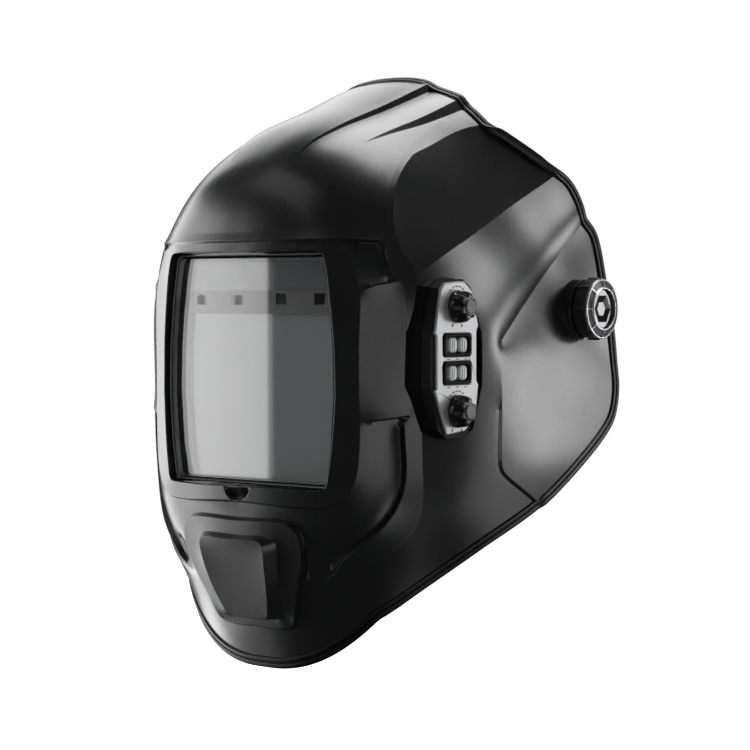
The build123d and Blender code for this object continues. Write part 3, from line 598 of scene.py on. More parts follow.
def feature_lines():
    """Every feature line of one half, on the chart."""
    c = {}
    c["window"] = dense(np.array([[*skin.seen_front(x, z), FRAME_H] for x, z in WINDOW]), 1.6, curved=False)
    c["frame"] = crease(FRAME_OUT, FRAME_H)
    c["brim"] = crease(BRIM, 1.0)
    c["brim_low"] = crease(BRIM_LOW, 1.9)
    c["brim_foot"] = tapered(c["brim_low"], -1.3, -1.5, 0, 0)[:-2]
    share = np.linspace(0, 1, len(c["brim_foot"]))
    c["brim_foot"][:, 2] = np.interp(share, [0, BRIM_FLAT, 1], [0.3, 0.5, -0.8])
    c["pocket_edge"] = crease(POCKET_EDGE, [1.9, 1.2, 0.8])
    c["pocket_foot"] = tapered(c["pocket_edge"], -1.6, -1.6, -0.9, -1.6)[2:-3]
    c["plate_top"] = crease(PLATE_TOP, [FRAME_H, 1.2, 1.2, 1.2], curved=False)
    c["plate_top_foot"] = tapered(c["plate_top"], 0.6, 1.2, 0.9, -1.8)[3:-4]
    c["plate_edge"] = crease(PLATE_EDGE, 1.2)
    c["plate_low"] = crease(PLATE_LOW, [FRAME_H, 1.3, 1.2])
    c["plate_low_foot"] = tapered(c["plate_low"], -0.6, -1.4, 0.9, -3.0)[3:-2]
    c["scoop_edge"] = crease(SCOOP_EDGE, [1.0] * 8 + [0.6, 0.0])
    c["scoop_foot"] = tapered(c["scoop_edge"], -1.8, -1.4, -3.2, -2.0)[2:-3]
    c["band_out"] = crease(BAND_OUT, [1.0] * 4 + [1.2] * 9 + [0.9, 0.5, 0.0])
    c["band_in_top"] = crease(BAND_IN_TOP, [1.0, 1.0, 1.0, 0.6, 0.3, 0.2, 0.2])
    c["facet_left"] = crease(FACET_LEFT, [1.0, 1.0, 0.7, 0.4, 0.3, 0.3])
    c["facet_top"] = crease(FACET_TOP, [0.4, 0.5, 0.5, 0.5])
    c["facet_low"] = crease(FACET_LOW, [1.2, 0.8, 0.6, 0.6], curved=False)
    c["ear"] = crease(EAR_EDGE, [-3.4, -4.4, -4.9, -4.6, -3.4, -2.0, 0.2, 0.8, 0.9, 0.9, 0.8])
    c["ear_foot"] = tapered(c["ear"], -1.4, -1.4, -0.6, -0.4)[int(len(c["ear"]) * 0.66):]
    c["chin"] = crease(CHIN_OUT, [2.9] * 8 + [1.8, 1.4, 1.2])
    c["chin_foot"] = tapered(c["chin"], 1.7, 1.3, -0.8, -0.6)
    c["chin_in"] = crease(CHIN_IN, [2.7] * 6 + [1.7, 1.5])
    c["chin_top"] = dense(np.array([[*skin.seen_front(x, z), h] for x, z, h in CHIN_TOP]), 1.6)
    c["frame_foot"] = tapered(c["frame"], -1.5, -1.2, -0.9, 0.4, 0.3)
    c["notch"] = dense(np.array([[*skin.seen_front(x, z), FRAME_H] for x, z in NOTCH]), 1.2)
    floor = [(x * 0.78, z + 1.7 - 0.2 * x) for x, z in NOTCH]
    c["notch_floor"] = dense(np.array([[*skin.seen_front(x, z), -2.6] for x, z in floor]), 1.2)
    c["ramp"] = crease(RAMP, [0.6, -3.4, -3.6, 0.2, 0.6], curved=False)
    c["spine"] = crease(SPINE, [0.0, 0.9, 1.7, 2.4, 3.2])
    c["spine_foot"] = tapered(c["spine"], -0.3, -3.4, 0.0, 0.0)[1:]
    c["step"] = crease(STEP, [0.0, 0.8, 1.6, 2.4])
    c["step_foot"] = tapered(c["step"], -0.3, -7.0, 0.0, 0.0)[1:]
    for name in ("brim", "brim_low", "brim_foot", "frame", "frame_foot", "chin", "chin_foot", "chin_in",
                 "chin_top", "notch", "notch_floor"):
        c[name] = to_the_middle(c[name])
    return c


def rim_line():
    """Edge of the shell on the chart, from the crown's middle round the ear to the chin's middle.
    The crown's and the chin's stretches are curves, so that they cross the middle square."""
    top = [(-36, 131 - 33 * (u / 40) ** 2.2) for u in range(40)]
    side = np.array(RIM_SIDE, float)
    side = dense(np.column_stack([side, np.zeros(len(side))]), 3.0)[:, :2].tolist()
    run = [1 - (1 - u / 40) ** 2.2 for u in range(1, 41)]
    low = [(-134 - 16 * u, -162 - 32 * u) for u in run]
    out = []
    for y, z in top + side + low:
        phi = math.degrees(math.atan2(z - FAN[1], FAN[0] - y))
        if math.hypot(y - FAN[0], z - FAN[1]) < np.interp(phi, skin.phi, skin.reach):
            out.append(skin.seen_side(y, z))
    ends = [skin.flat(skin.unflat(uv[None])[0], np.zeros(1)) for uv in (out[0], out[-1])]
    out = np.vstack([ends[0], out, ends[1]])
    return dense(np.column_stack([out, np.zeros(len(out))]), 1.6)


def side_loop(points):
    """Closed outline given as (y, z), on the chart."""
    uv = np.array([skin.seen_side(y, z) for y, z in [*points, points[0]]])
    return dense(np.column_stack([uv, np.zeros(len(uv))]), 1.6, curved=False)


PANEL_AT = (-118.6, -25.5)
PANEL_HALF = [(-7, 41.4), (-14.9, 36.9), (-21.1, 13.5), (-21.1, -13.5), (-14.9, -36.9), (-7, -41.4)]
PANEL_WHOLE = PANEL_HALF + [(-a, b) for a, b in reversed(PANEL_HALF)]
PANEL_HOLE = [(PANEL_AT[0] + a, PANEL_AT[1] + b) for a, b in PANEL_WHOLE]
SPOT_R, SPOT_X = 17.0, 109.0    # flat seat of each tension knob: its radius and its face
BORE_R, BORE_X = 5.6, 104.0     # bore for the pivot stud: its radius and its inner end
LENS_SEAT_Y = -155.4            # the window's wall goes back to the lens here
SHELL_T = 3.0                   # from the outer skin to the inner one
GRID_STEP = 2.1                 # spacing of the chart's free points
GRID_CLEAR = 0.9                # how clear of a line they stay
MIDDLE_STEPS = 260              # points along the middle of the helmet
FAR = -420                      # a chart place well past the middle


def to_middle(line):
    """Polygon between a line and the middle of the helmet."""
    return np.vstack([line[:, :2], [[FAR, line[-1, 1]], [FAR, line[0, 1]]]])


def on_middle(uv):
    """Which chart points lie on the middle line."""
    return skin.unflat(uv)[1] < 1e-4


def ear_level(uv, ear):
    """Height of the ear panel: the heights along its edge, weighed by nearness."""
    near = 1 / (((uv[:, None] - ear[None, ::3, :2]) ** 2).sum(2) + 4.0)
    return (near * ear[None, ::3, 2]).sum(1) / near.sum(1)


def free_points(outline, on_line):
    """Triangular grid inside the outline, clear of the feature lines."""
    us = np.arange(-325, 0, GRID_STEP)
    grid = []
    for row, v in enumerate(np.arange(-200, 260, GRID_STEP * 0.866)):
        grid.append(np.column_stack([us + (row % 2) * GRID_STEP / 2, np.full(len(us), v)]))
    grid = np.vstack(grid)
    phi, t = skin.unflat(grid)
    grid = grid[(t > 0) & (phi > skin.phi[0]) & (phi < skin.phi[-1])]
    grid = grid[inside(grid, outline)]
    cell = {}
    for p in on_line:
        cell.setdefault((int(p[0] // 2), int(p[1] // 2)), []).append(p)
    keep = []
    for k, p in enumerate(grid):
        a, b = int(p[0] // 2), int(p[1] // 2)
        close = [q for i in (-1, 0, 1) for j in (-1, 0, 1) for q in cell.get((a + i, b + j), [])]
        if not close or min((q[0] - p[0]) ** 2 + (q[1] - p[1]) ** 2 for q in close) > GRID_CLEAR ** 2:
            keep.append(k)
    return grid[keep]


def chart_mesh():
    """Triangulated half of the skin, with the height, region and edge data that shape it."""
    c = feature_lines()
    rim = rim_line()
    phi0, phi1 = skin.unflat(rim[[0, -1], :2])[0]
    mid_phi = np.linspace(phi0, phi1, MIDDLE_STEPS)
    middle = np.column_stack([skin.flat(mid_phi, np.zeros(MIDDLE_STEPS)), np.full(MIDDLE_STEPS, np.nan)])
    rim[:, 2] = np.nan
    pivot = side_loop(round_outline(0, 0, SPOT_R, 60))
    pivot[:, 2] = ear_level(pivot[:, :2], c["ear"])
    hole = side_loop(PANEL_HOLE)
    hole[:, 2] = np.nan
    c.update(rim=rim, middle=middle, pivot=pivot, hole=hole)
    past_middle = skin.flat(mid_phi[::-1], np.full(MIDDLE_STEPS, -0.0002))
    outline = np.vstack([rim[:, :2], past_middle])
    verts, edges, height, owner = [], [], [], []
    for name, line in c.items():
        base = len(verts)
        verts += [Vector(p) for p in line[:, :2]]
        height += line[:, 2].tolist()
        owner += [name] * (len(line) - 1)
        edges += [(base + i, base + i + 1) for i in range(len(line) - 1)]
    on_line = np.array([v[:] for v in verts])
    grid = free_points(outline, on_line)
    verts += [Vector(p) for p in grid]
    height += [np.nan] * len(grid)
    # src_v and src_e say which of the given points and edges each new point and edge comes from
    cut_verts, cut_edges, cut_faces, src_v, src_e, _ = geometry.delaunay_2d_cdt(verts, edges, [], 0, 1e-4)
    uv = np.array([v[:] for v in cut_verts])
    tri = np.array([f for f in cut_faces if len(f) == 3])
    center = uv[tri].mean(axis=1)
    good = inside(center, outline) & ~inside(center, to_middle(c["window"])) & ~inside(center, pivot)
    good &= ~on_middle(uv)[tri].all(axis=1)
    tri, center = tri[good], center[good]
    h = np.full(len(uv), np.nan)
    for k, ids in enumerate(src_v):
        vals = [height[i] for i in ids if not np.isnan(height[i])]
        if vals:
            h[k] = max(vals)
    edge_lines = {}
    for k, ids in enumerate(src_e):
        names = {owner[i] for i in ids}
        if names:
            edge_lines[tuple(sorted(cut_edges[k]))] = names
    for (a, b), names in edge_lines.items():
        for k in (a, b):
            if np.isnan(h[k]) and not names <= {"rim", "middle", "hole"}:
                line = c[min(names - {"rim", "middle", "hole"})]
                h[k] = line[np.argmin(((line[:, :2] - uv[k]) ** 2).sum(1)), 2]
    used = np.unique(tri)
    remap = np.full(len(uv), -1)
    remap[used] = np.arange(len(used))
    edge_lines = {(int(remap[a]), int(remap[b])): names for (a, b), names in edge_lines.items()
                  if remap[a] >= 0 and remap[b] >= 0}
    return uv[used], remap[tri], h[used], edge_lines, c, remap[tri][inside(center, hole)]


def regions(c):
    """(polygon, is flat): flat parts are stretched straight between their lines, the others follow the skin.
    Later ones win where they overlap."""
    at = {name: line[:, :2] for name, line in c.items()}
    i_band = int(np.argmin(((at["band_out"] - at["facet_low"][0]) ** 2).sum(1)))
    i_facet = int(np.argmin(((at["facet_left"] - at["facet_top"][0]) ** 2).sum(1)))
    foot = at["brim_foot"][:int(len(at["brim_foot"]) * BRIM_FLAT)]
    frame = to_middle(np.vstack([at["frame"], foot[::-1]]))
    plate = np.vstack([at["plate_top"], at["plate_edge"], at["plate_low"][::-1]])
    band = np.vstack([at["band_in_top"][::-1], at["pocket_edge"], at["plate_edge"], at["scoop_edge"],
                      at["band_out"][::-1], at["facet_left"]])
    past_rim = np.array([60, 25])
    facet = np.vstack([at["facet_left"][:i_facet], at["facet_top"], at["facet_top"][-1:] + past_rim,
                       at["facet_low"][-1:] + past_rim, at["facet_low"][::-1], at["band_out"][:i_band][::-1]])
    brim = to_middle(np.vstack([at["brim"], at["brim_low"][::-1]]))
    past_crown = [[-60, 330], [FAR, 300], [FAR, at["spine"][0, 1]]]
    spine = np.vstack([at["spine"], at["spine"][-1:] + [30, 30], past_crown])
    terrace = np.vstack([at["step"], at["step"][-1:] + [30, 15], at["spine_foot"][-1:] + [30, 15],
                         at["spine_foot"][::-1]])
    return [(spine, False), (terrace, False), (frame, True), (plate, True), (band, True), (facet, True),
            (brim, True), (to_middle(c["chin"]), True), (at["ramp"], True)]


class Net:
    """Weighted net over a chart mesh, for smooth fills between fixed places."""

    def __init__(self, uv, tri):
        self.n = len(uv)
        pair = {}
        self.mass = np.zeros(self.n)
        for k in range(3):
            i, j, o = tri[:, k], tri[:, (k + 1) % 3], tri[:, (k + 2) % 3]
            e1, e2 = uv[i] - uv[o], uv[j] - uv[o]
            twice = np.maximum(np.abs(e1[:, 0] * e2[:, 1] - e1[:, 1] * e2[:, 0]), 1e-6)
            np.add.at(self.mass, i, twice / 6)
            weight = (e1 * e2).sum(1) / twice / 2
            for a, b, w in zip(np.minimum(i, j).tolist(), np.maximum(i, j).tolist(), weight.tolist()):
                pair[(a, b)] = pair.get((a, b), 0.0) + w
        ends = np.array(list(pair))
        self.i, self.j = ends[:, 0], ends[:, 1]
        self.w = np.clip(np.array(list(pair.values())), 0.05, 8)

    def pull(self, f):
        diff = self.w[:, None] * (f[self.i] - f[self.j])
        return np.stack([np.bincount(self.i, diff[:, k], self.n) - np.bincount(self.j, diff[:, k], self.n)
                         for k in range(f.shape[1])], -1)

    def fill(self, start, free, keep, goal):
        """Values that are smooth where free, held near goal with the strength keep."""
        hold = (keep * self.mass)[:, None]
        diag = (np.bincount(self.i, self.w, self.n) + np.bincount(self.j, self.w, self.n))[:, None] + hold
        f = start.copy()
        r = (hold * goal - self.pull(f) - hold * f) * free
        z = r / diag
        p, rz = z.copy(), (r * z).sum(0)
        for _ in range(1500):
            ap = (self.pull(p) + hold * p) * free
            alpha = rz / np.maximum((p * ap).sum(0), 1e-20)
            f += alpha * p
            r -= alpha * ap
            if np.abs(r).max() < 2e-5:
                break
            z = r / diag
            new = (r * z).sum(0)
            p = z + new / np.maximum(rz, 1e-20) * p
            rz = new
        return f


def relax(uv, tri, h, c):
    """Shape the half: known heights on the lines, smooth or flat in between."""
    phi, t = skin.unflat(uv)
    middle = on_middle(uv)
    base = skin.point(phi, t)
    base[middle, 0] = 0
    normal = skin.normal(phi, np.clip(t, 0, 1))
    n = len(uv)
    # away from a line, a free part returns to the smooth skin in about 9 mm, and the ear to its level in 5 mm
    flat, keep = np.zeros(n, bool), np.full(n, 1 / 9.0 ** 2)
    for poly, is_flat in regions(c):
        hit = inside(uv, poly)
        flat[hit] = is_flat
        keep[hit] = 0
    ear = c["ear"]
    ear_poly = np.vstack([ear[:, :2], ear[-1:, :2] + [60, -30], [[60, -60], [60, 120]]])
    on_ear = inside(uv, ear_poly)
    goal = np.where(on_ear, ear_level(uv, ear), 0.0)[:, None] * normal
    keep[on_ear] = 1 / 5.0 ** 2
    net = Net(uv, tri)
    fixed = ~np.isnan(h)
    free = np.repeat((~fixed)[:, None], 3, axis=1)
    free[middle, 0] = False
    move = net.fill(np.where(fixed, np.nan_to_num(h), 0)[:, None] * normal, free, keep, goal)
    top = base + move
    # the flat side facet runs out to the rim along a straight stretch
    border = np.array([k for k in np.nonzero(flat & ~middle & ~fixed)[0]
                       if ((c["rim"][:, :2] - uv[k]) ** 2).sum(1).min() < 1e-4])
    if len(border):
        at = np.array([np.argmin(((c["rim"][:, :2] - uv[k]) ** 2).sum(1)) for k in border])
        border, at = border[np.argsort(at)], np.sort(at)
        share = ((at - at[0]) / (at[-1] - at[0]))[:, None]
        top[border] = top[border[0]] * (1 - share) + top[border[-1]] * share
    hold = fixed | ~flat
    hold[border] = True
    free = np.repeat((~hold)[:, None], 3, axis=1)
    free[middle, 0] = False
    top = net.fill(top, free, np.zeros(n), np.zeros((n, 3)))
    top[middle, 0] = 0
    proud = ((top - base) * normal).sum(1)
    under = base + normal * (np.minimum(proud, 0) - SHELL_T)[:, None]
    under[middle, 0] = 0
    return top, under, middle


def build_shell():
    """The shell's two skins and their edges. Returns its points, its rim's edges and where the inner skin's
    points begin."""
    uv, tri, h, edge_lines, c, hole_tris = chart_mesh()
    top, under, centre = relax(uv, tri, h, c)
    n = len(uv)
    a, b, d = top[tri[:, 0]], top[tri[:, 1]], top[tri[:, 2]]
    if np.cross(b - a, d - a)[:, 1].mean() > 0:
        tri = tri[:, ::-1]
        hole_tris = hole_tris[:, ::-1]
    hole_set = {tuple(sorted(f)) for f in hole_tris.tolist()}
    left = np.array([f for f in tri.tolist() if tuple(sorted(f)) not in hole_set])
    # mirror: middle vertices are shared
    mirror = np.where(centre, np.arange(n), n + np.cumsum(~centre) - 1)
    extra = ~centre
    outer = np.vstack([top, top[extra] * [-1, 1, 1]])
    inner = np.vstack([under, under[extra] * [-1, 1, 1]])
    faces = np.vstack([left, mirror[tri][:, ::-1]])
    m = len(outer)
    verts = np.vstack([outer, inner])
    all_faces = faces.tolist() + (faces[:, ::-1] + m).tolist()
    # open edges of the outer skin
    count = {}
    for f in faces.tolist():
        for i, j in ((f[0], f[1]), (f[1], f[2]), (f[2], f[0])):
            count[(i, j)] = count.get((i, j), 0) + 1
    border = [(i, j) for (i, j) in count if (j, i) not in count]
    named = {}
    for (i, j), names in edge_lines.items():
        named[tuple(sorted((i, j)))] = names
        named[tuple(sorted((int(mirror[i]), int(mirror[j]))))] = names
    verts = verts.tolist()
    lens_wall, spot = {}, {}
    sharp = set()
    for i, j in border:
        names = named.get(tuple(sorted((i, j))), set())
        sharp.add(tuple(sorted((i, j))))
        if "window" in names:
            for k in (i, j):
                if k not in lens_wall:
                    x, y, z = verts[k]
                    lens_wall[k] = len(verts)
                    verts.append([x * 0.992, LENS_SEAT_Y, z])
            all_faces += [[j, i, lens_wall[i], lens_wall[j]], [lens_wall[j], lens_wall[i], i + m, j + m]]
            sharp.add(tuple(sorted((lens_wall[i], lens_wall[j]))))
        elif "pivot" in names:
            for k in (i, j):
                if k not in spot:
                    x, y, z = verts[k]
                    s = math.copysign(1, x)
                    spot[k] = (len(verts), len(verts) + 1, len(verts) + 2)
                    f = BORE_R / math.hypot(y, z)
                    verts += [[s * SPOT_X, y, z], [s * SPOT_X, y * f, z * f], [s * BORE_X, y * f, z * f]]
            p, q = (i, *spot[i], i + m), (j, *spot[j], j + m)
            all_faces += [[q[k], p[k], p[k + 1], q[k + 1]] for k in range(4)]
            sharp |= {tuple(sorted((p[k], q[k]))) for k in (1, 2, 3)}
        else:
            all_faces.append([j, i, i + m, j + m])
            sharp.add(tuple(sorted((i + m, j + m))))
    for e, names in named.items():
        if not names <= {"middle", "hole"}:
            sharp.add(e)
    piece("shell_skin", verts, all_faces, "shell_satin", "helmet_shell",
          ["outer_shell"], sharp=sharp)
    rim_edges = [e for e in border if "rim" in named.get(tuple(sorted(e)), set())]
    return np.array(verts), rim_edges, m


# ------------------------------------------------------------------ rim bead
BEAD = [(-1.2, -1.6), (-1.2, 0.1), (-0.8, 0.9), (0.0, 1.35), (1.2, 1.4), (2.1, 1.1), (2.4, 0.45),
        (2.9, 0.45), (3.2, 1.0), (4.2, 1.2), (5.0, 0.9), (5.4, 0.1), (5.4, -3.0), (4.9, -4.0), (0.4, -4.2),
        (-0.7, -3.7), (-1.2, -2.8)]


def smooth_loop(v, rounds):
    """Values round a loop, each averaged with its neighbours a few times."""
    for _ in range(rounds):
        v = (np.roll(v, 1, axis=0) + 2 * v + np.roll(v, -1, axis=0)) / 4
    return v


def rim_bead(v, rim_edges, inner_from):
    """Bead swept round the rim: each profile point is (across the edge, outwards)."""
    after = dict(rim_edges)
    loop = [rim_edges[0][0]]
    while after[loop[-1]] != loop[0]:
        loop.append(after[loop[-1]])
    path = smooth_loop(v[loop], 2)
    outward = unit(smooth_loop(unit(v[loop] - v[[k + inner_from for k in loop]]), 6))
    along = unit(smooth_loop(np.roll(path, -2, axis=0) - np.roll(path, 2, axis=0), 3))
    across = unit(np.cross(along, outward))
    if (across @ np.array([0, -1, 0.4])).mean() < 0:
        across = -across
    verts = [p + b * u + o * w for p, b, o in zip(path, across, outward) for u, w in BEAD]
    faces = tube_faces(len(path), len(BEAD), joined=True)
    piece("rim_bead", verts, faces, "rim_black", "helmet_shell", angle=40)


rim_bead(*build_shell())


# ------------------------------------------------------------------ solids from outlines (mm)
def rounded(points, radius, n=6):
    """Closed outline with its corners rounded, counter-clockwise."""
    p = np.asarray(points, float)
    area = (p[:, 0] * np.roll(p[:, 1], -1) - np.roll(p[:, 0], -1) * p[:, 1]).sum()
    if area < 0:
        p = p[::-1]
    out = []
    for a, b, c in zip(np.roll(p, 1, axis=0), p, np.roll(p, -1, axis=0)):
        u, v = a - b, c - b
        lu, lv = np.linalg.norm(u), np.linalg.norm(v)
        u, v = u / lu, v / lv
        half = math.acos(float(np.clip(u @ v, -1, 1))) / 2
        cut = min(radius / math.tan(half), 0.48 * min(lu, lv))
        s, e = b + u * cut, b + v * cut
        out += [(1 - t) ** 2 * s + 2 * t * (1 - t) * b + t * t * e for t in np.linspace(0, 1, n)]
    return np.array(out)


def box_outline(u, v, wide, tall, radius):
    """Rounded rectangle about (u, v)."""
    a, b = wide / 2, tall / 2
    return rounded([(u - a, v - b), (u + a, v - b), (u + a, v + b), (u - a, v + b)], radius)


def ring(radius, angles, height, u=0.0, v=0.0):
    """One row of a lathe: (u, v, height) round an axis at (u, v)."""
    return np.column_stack([u + radius * np.cos(angles), v + radius * np.sin(angles), height + 0 * angles])


def inset(loop, by):
    """Counter-clockwise outline moved inwards by a distance."""
    d = unit(np.roll(loop, -1, axis=0) - loop)
    n = np.stack([-d[:, 1], d[:, 0]], -1)
    before = np.roll(n, 1, axis=0)
    return loop + by * (n + before) / np.maximum(1 + (n * before).sum(1), 0.3)[:, None]


def solid(name, loops, levels, place, shade, body, replaces=(), angle=32):
    """Closed solid between two caps. The first loop is the outside, the others are holes; levels are
    (height, inset), and place turns (u, v, height) into x, y, z. Several solids can share one object."""
    verts, faces = [], []
    for group in (loops if isinstance(loops[0], list) else [loops]):
        caps = [[], []]
        for number, loop in enumerate(group):
            n, base, sign = len(loop), len(verts), 1 if number == 0 else -1
            for h, by in levels:
                verts += [place(u, v, h) for u, v in inset(loop, by * sign)]
            faces += tube_faces(len(levels), n, base)
            last = base + (len(levels) - 1) * n
            caps[0] += range(base, base + n)
            caps[1] += range(last, last + n)
        if len(group) == 2 and len(group[0]) == len(group[1]):
            n = len(group[0])
            flat = [[k, (k + 1) % n, n + (k + 1) % n, n + k] for k in range(n)]
        else:
            flat = geometry.tessellate_polygon([[Vector((u, v, 0)) for u, v in loop] for loop in group])
        faces += [[cap[i] for i in t] for cap in caps for t in flat]
    obj = piece(name, verts, faces, shade, body, replaces, angle=angle)
    outwards(obj)
    return obj


def outwards(obj):
    """Turns a closed mesh's faces outwards."""
    bm = bmesh.new()
    bm.from_mesh(obj.data)
    bmesh.ops.recalc_face_normals(bm, faces=bm.faces)
    bm.to_mesh(obj.data)
    bm.free()


def lathe(name, rows, place, shade, body, replaces=(), angle=30, joined=False):
    """Solid of rings: each row is an array of (u, v, height) round the axis. The last row is joined to the
    first, or both are capped."""
    n = len(rows[0])
    verts = [place(*p) for row in rows for p in row]
    faces = tube_faces(len(rows), n, joined=joined)
    if not joined:
        faces += [list(range(n)), list(range((len(rows) - 1) * n, len(rows) * n))]
    obj = piece(name, verts, faces, shade, body, replaces, angle=angle)
    outwards(obj)
    return obj


# places: u and v in the plane, h along the axis that leaves the helmet
def on_left(u, v, h):
    return (h, u, v)


def on_right(u, v, h):
    return (-h, u, v)


def on_front(u, v, h):
    return (u, h, v)


# ------------------------------------------------------------------ lens surround
solid("lens_collar", [box_outline(0, -32, 134, 140, 4), box_outline(0, -32, 124.6, 130, 3)],
      [(-155.6, 0.4), (-155.2, 0), (-142.4, 0)], on_front, "deep_black", "helmet_shell")
half_window = WINDOW[1:-1]
lip_loop = inset(rounded(half_window + [(-x, z) for x, z in reversed(half_window)], 2.0), 0.9)
LIP_LEVELS = [(-157.2, 0), (-158.4, 0), (-160.6, 0.1), (-160.9, 0.25), (-160.7, 0.45), (-158.6, 0.85),
              (-157.6, 0.92), (-157.2, 0.93)]
# light grey on the lens rim: painted highlight along the lens's edge
solid("lens_rim", [lip_loop, inset(lip_loop, 1.9)], LIP_LEVELS, on_front, "painted_lens_edge_highlight",
      "helmet_shell")

# ------------------------------------------------------------------ control panel
PLATE_OUTLINE = [(-116.3, 14.7), (-129.5, 13.6), (-133.1, 10.5), (-138.3, -12.4), (-136.6, -13.9),
                 (-136.5, -40.4), (-138.3, -41.4), (-127.7, -64.6), (-111.6, -63.3), (-101.6, -56.3),
                 (-98.9, -39.1), (-100.8, -36.9), (-100.8, -11.3), (-99, -8.7), (-105.5, 10.1),
                 (-111.8, 14.5)]
PANEL_Y, PANEL_Z = PANEL_AT
DIALS = {"shade": PANEL_Z + 27, "sensitivity": PANEL_Z - 27}
SWITCHES = {"upper": PANEL_Z + 7.2, "lower": PANEL_Z - 7.2}
holes = [round_outline(PANEL_Y, z, 3.5) for z in DIALS.values()]
holes += [box_outline(PANEL_Y, z, 24.9, 11.7, 2) for z in SWITCHES.values()]
solid("panel_plate", [rounded(PLATE_OUTLINE, 1.3)] + holes, [(103, 0), (104.0, 0), (104.6, 0.6)], on_left,
      "silver", "helmet_shell", ["control_plate"])


def switch(which, z):
    """Slide switch: a dark bezel round a slider with two ribbed lobes, a core and a stem."""
    body, black = f"{which}_switch", "deep_black"
    frame_loops = [box_outline(PANEL_Y, z, 24.7, 11.5, 2.8), box_outline(PANEL_Y, z, 20.4, 8.4, 2.4)]
    solid(f"{which}_bezel_ring", frame_loops, [(103, 0), (105.1, 0), (105.5, 0.5)], on_left, black,
          "helmet_shell", [f"{which}_switch_bezel"])
    lobes, ribs = [], []
    for middle, corner in ((PANEL_Y - 4.5, 2.2), (PANEL_Y + 4.5, 2.6)):
        lobes.append([box_outline(middle, z, 6.6, 7.6, corner)])
        ribs += [[box_outline(middle + d, z, 0.7, 5.6, 0.3)] for d in (-1.2, 0.6)]
    solid(f"{which}_lobes", lobes, [(101.4, 0), (104.9, 0), (105.6, 0.7)], on_left, "lobe", body,
          [f"{which}_switch_slider"])
    solid(f"{which}_ribs", ribs, [(105.4, 0), (105.8, 0), (105.95, 0.15)], on_left, "lobe", body)
    solid(f"{which}_slide_core", [box_outline(PANEL_Y, z, 14.5, 6.4, 1.5)],
          [(101.35, 0), (103.3, 0), (103.6, 0.3)], on_left, black, body)
    solid(f"{which}_slide_stem", [box_outline(PANEL_Y, z, 5.8, 2.7, 0.5)],
          [(98.8, 0.2), (99, 0), (101.4, 0)], on_left, black, body)


for which_switch, switch_z in SWITCHES.items():
    switch(which_switch, switch_z)


def panel_seat():
    """Moulded rise in front of the control panel, from just under the skin up its housing's wall."""
    reach, top = 2.4, 96.5
    loop = rounded(PANEL_HOLE, 1.5)
    foot = []
    for y, z in inset(loop, -reach):
        on_skin = skin.point(*skin.unflat(skin.seen_side(y, z)[None]))[0, 0]
        foot.append(on_skin + np.interp(y, [-142, -138], [-0.6, -2.0]))
    foot = np.array(foot)
    rows = []
    for out, share, drop in ((reach, 0, 5), (reach, 0, 0), (1.0, 0.6, 0), (0.05, 1, 0), (0.05, 1, 9)):
        rows.append(np.column_stack([inset(loop, -out), foot + (top - foot) * share - drop]))
    lathe("panel_seat", rows, on_left, "deep_black", "helmet_shell", angle=25,
          joined=True)


def polar(radius, degrees, u, v):
    """Point at an angle on a circle about (u, v)."""
    a = math.radians(degrees)
    return u + radius * math.cos(a), v + radius * math.sin(a)


def panel_marks():
    """Plain ticks and dots where the plate is printed."""
    marks = []
    for z in DIALS.values():
        for a in (62, 78, 94, 110, 126):
            u, v = polar(10.4, a, PANEL_Y, z)
            c, s = math.cos(math.radians(a)), math.sin(math.radians(a))
            bar = [(-0.35, -0.9), (0.35, -0.9), (0.35, 0.9), (-0.35, 0.9)]
            marks.append([rounded([(u + x * c - y * s, v + x * s + y * c) for x, y in bar], 0.1, 3)])
        marks += [[round_outline(*polar(10.6, a, PANEL_Y, z), 0.8, 12)] for a in (246, 292)]
    for z in SWITCHES.values():
        marks += [[box_outline(PANEL_Y + d, z - 7.3, 2.6, 0.5, 0.15)] for d in (-7.5, 0, 7.5)]
    solid("panel_marks", marks, [(104.5, 0), (104.66, 0)], on_left, "mark", "helmet_shell")


panel_seat()
panel_marks()


# height, radius and depth of the scoops, from the panel outwards
DIAL_LEVELS = [(105.0, 7.9, 0), (105.3, 8.5, 0), (106.2, 8.6, 0), (106.6, 8.4, 0.2), (107.3, 8.3, 1.7),
               (109.4, 8.0, 2.3), (111.0, 7.6, 2.4), (111.9, 7.1, 2.1), (112.3, 6.4, 1.5), (112.5, 5.6, 0.8),
               (112.5, 4.9, 0.2), (112.9, 4.5, 0), (113.0, 4.1, 0)]


def dial(name, z):
    """Fluted dial: a flange, a tapering body with six scoops and a lighter tip."""
    a = turn(120)
    scoop = np.clip(1 - np.abs(np.cos(3 * a)) * 1.15, 0, 1) ** 0.7
    rows = [ring(r - cut * scoop, a + 0.35, h, PANEL_Y, z) for h, r, cut in DIAL_LEVELS]
    lathe(f"{name}_fluted", rows, on_left, "knob_black", f"{name}_dial",
          [f"{name}_knob"])
    solid(f"{name}_tip", [round_outline(PANEL_Y, z, 3.9, 36)], [(112.6, 0), (113.2, 0), (113.4, 0.3)],
          on_left, "tip", f"{name}_dial")


for dial_name, dial_height in DIALS.items():
    dial(dial_name, dial_height)


# ------------------------------------------------------------------ tension knobs
# radius, height and whether the row runs along the foot of the ring's recesses
RING_LEVELS = [(11.0, 118.42, 0), (16.7, 118.42, 0), (16.8, 119.6, 0), (16.45, 120.0, 0), (15.85, 120.1, 0),
               (15.75, 120.1, 1), (12.55, 121.3, 1), (12.45, 121.3, 0), (11.6, 121.7, 0), (11.15, 121.6, 0),
               (11.0, 121.2, 0)]
RECESS_ROW, RECESS_DEPTH = 5, 0.75
BARS = 8


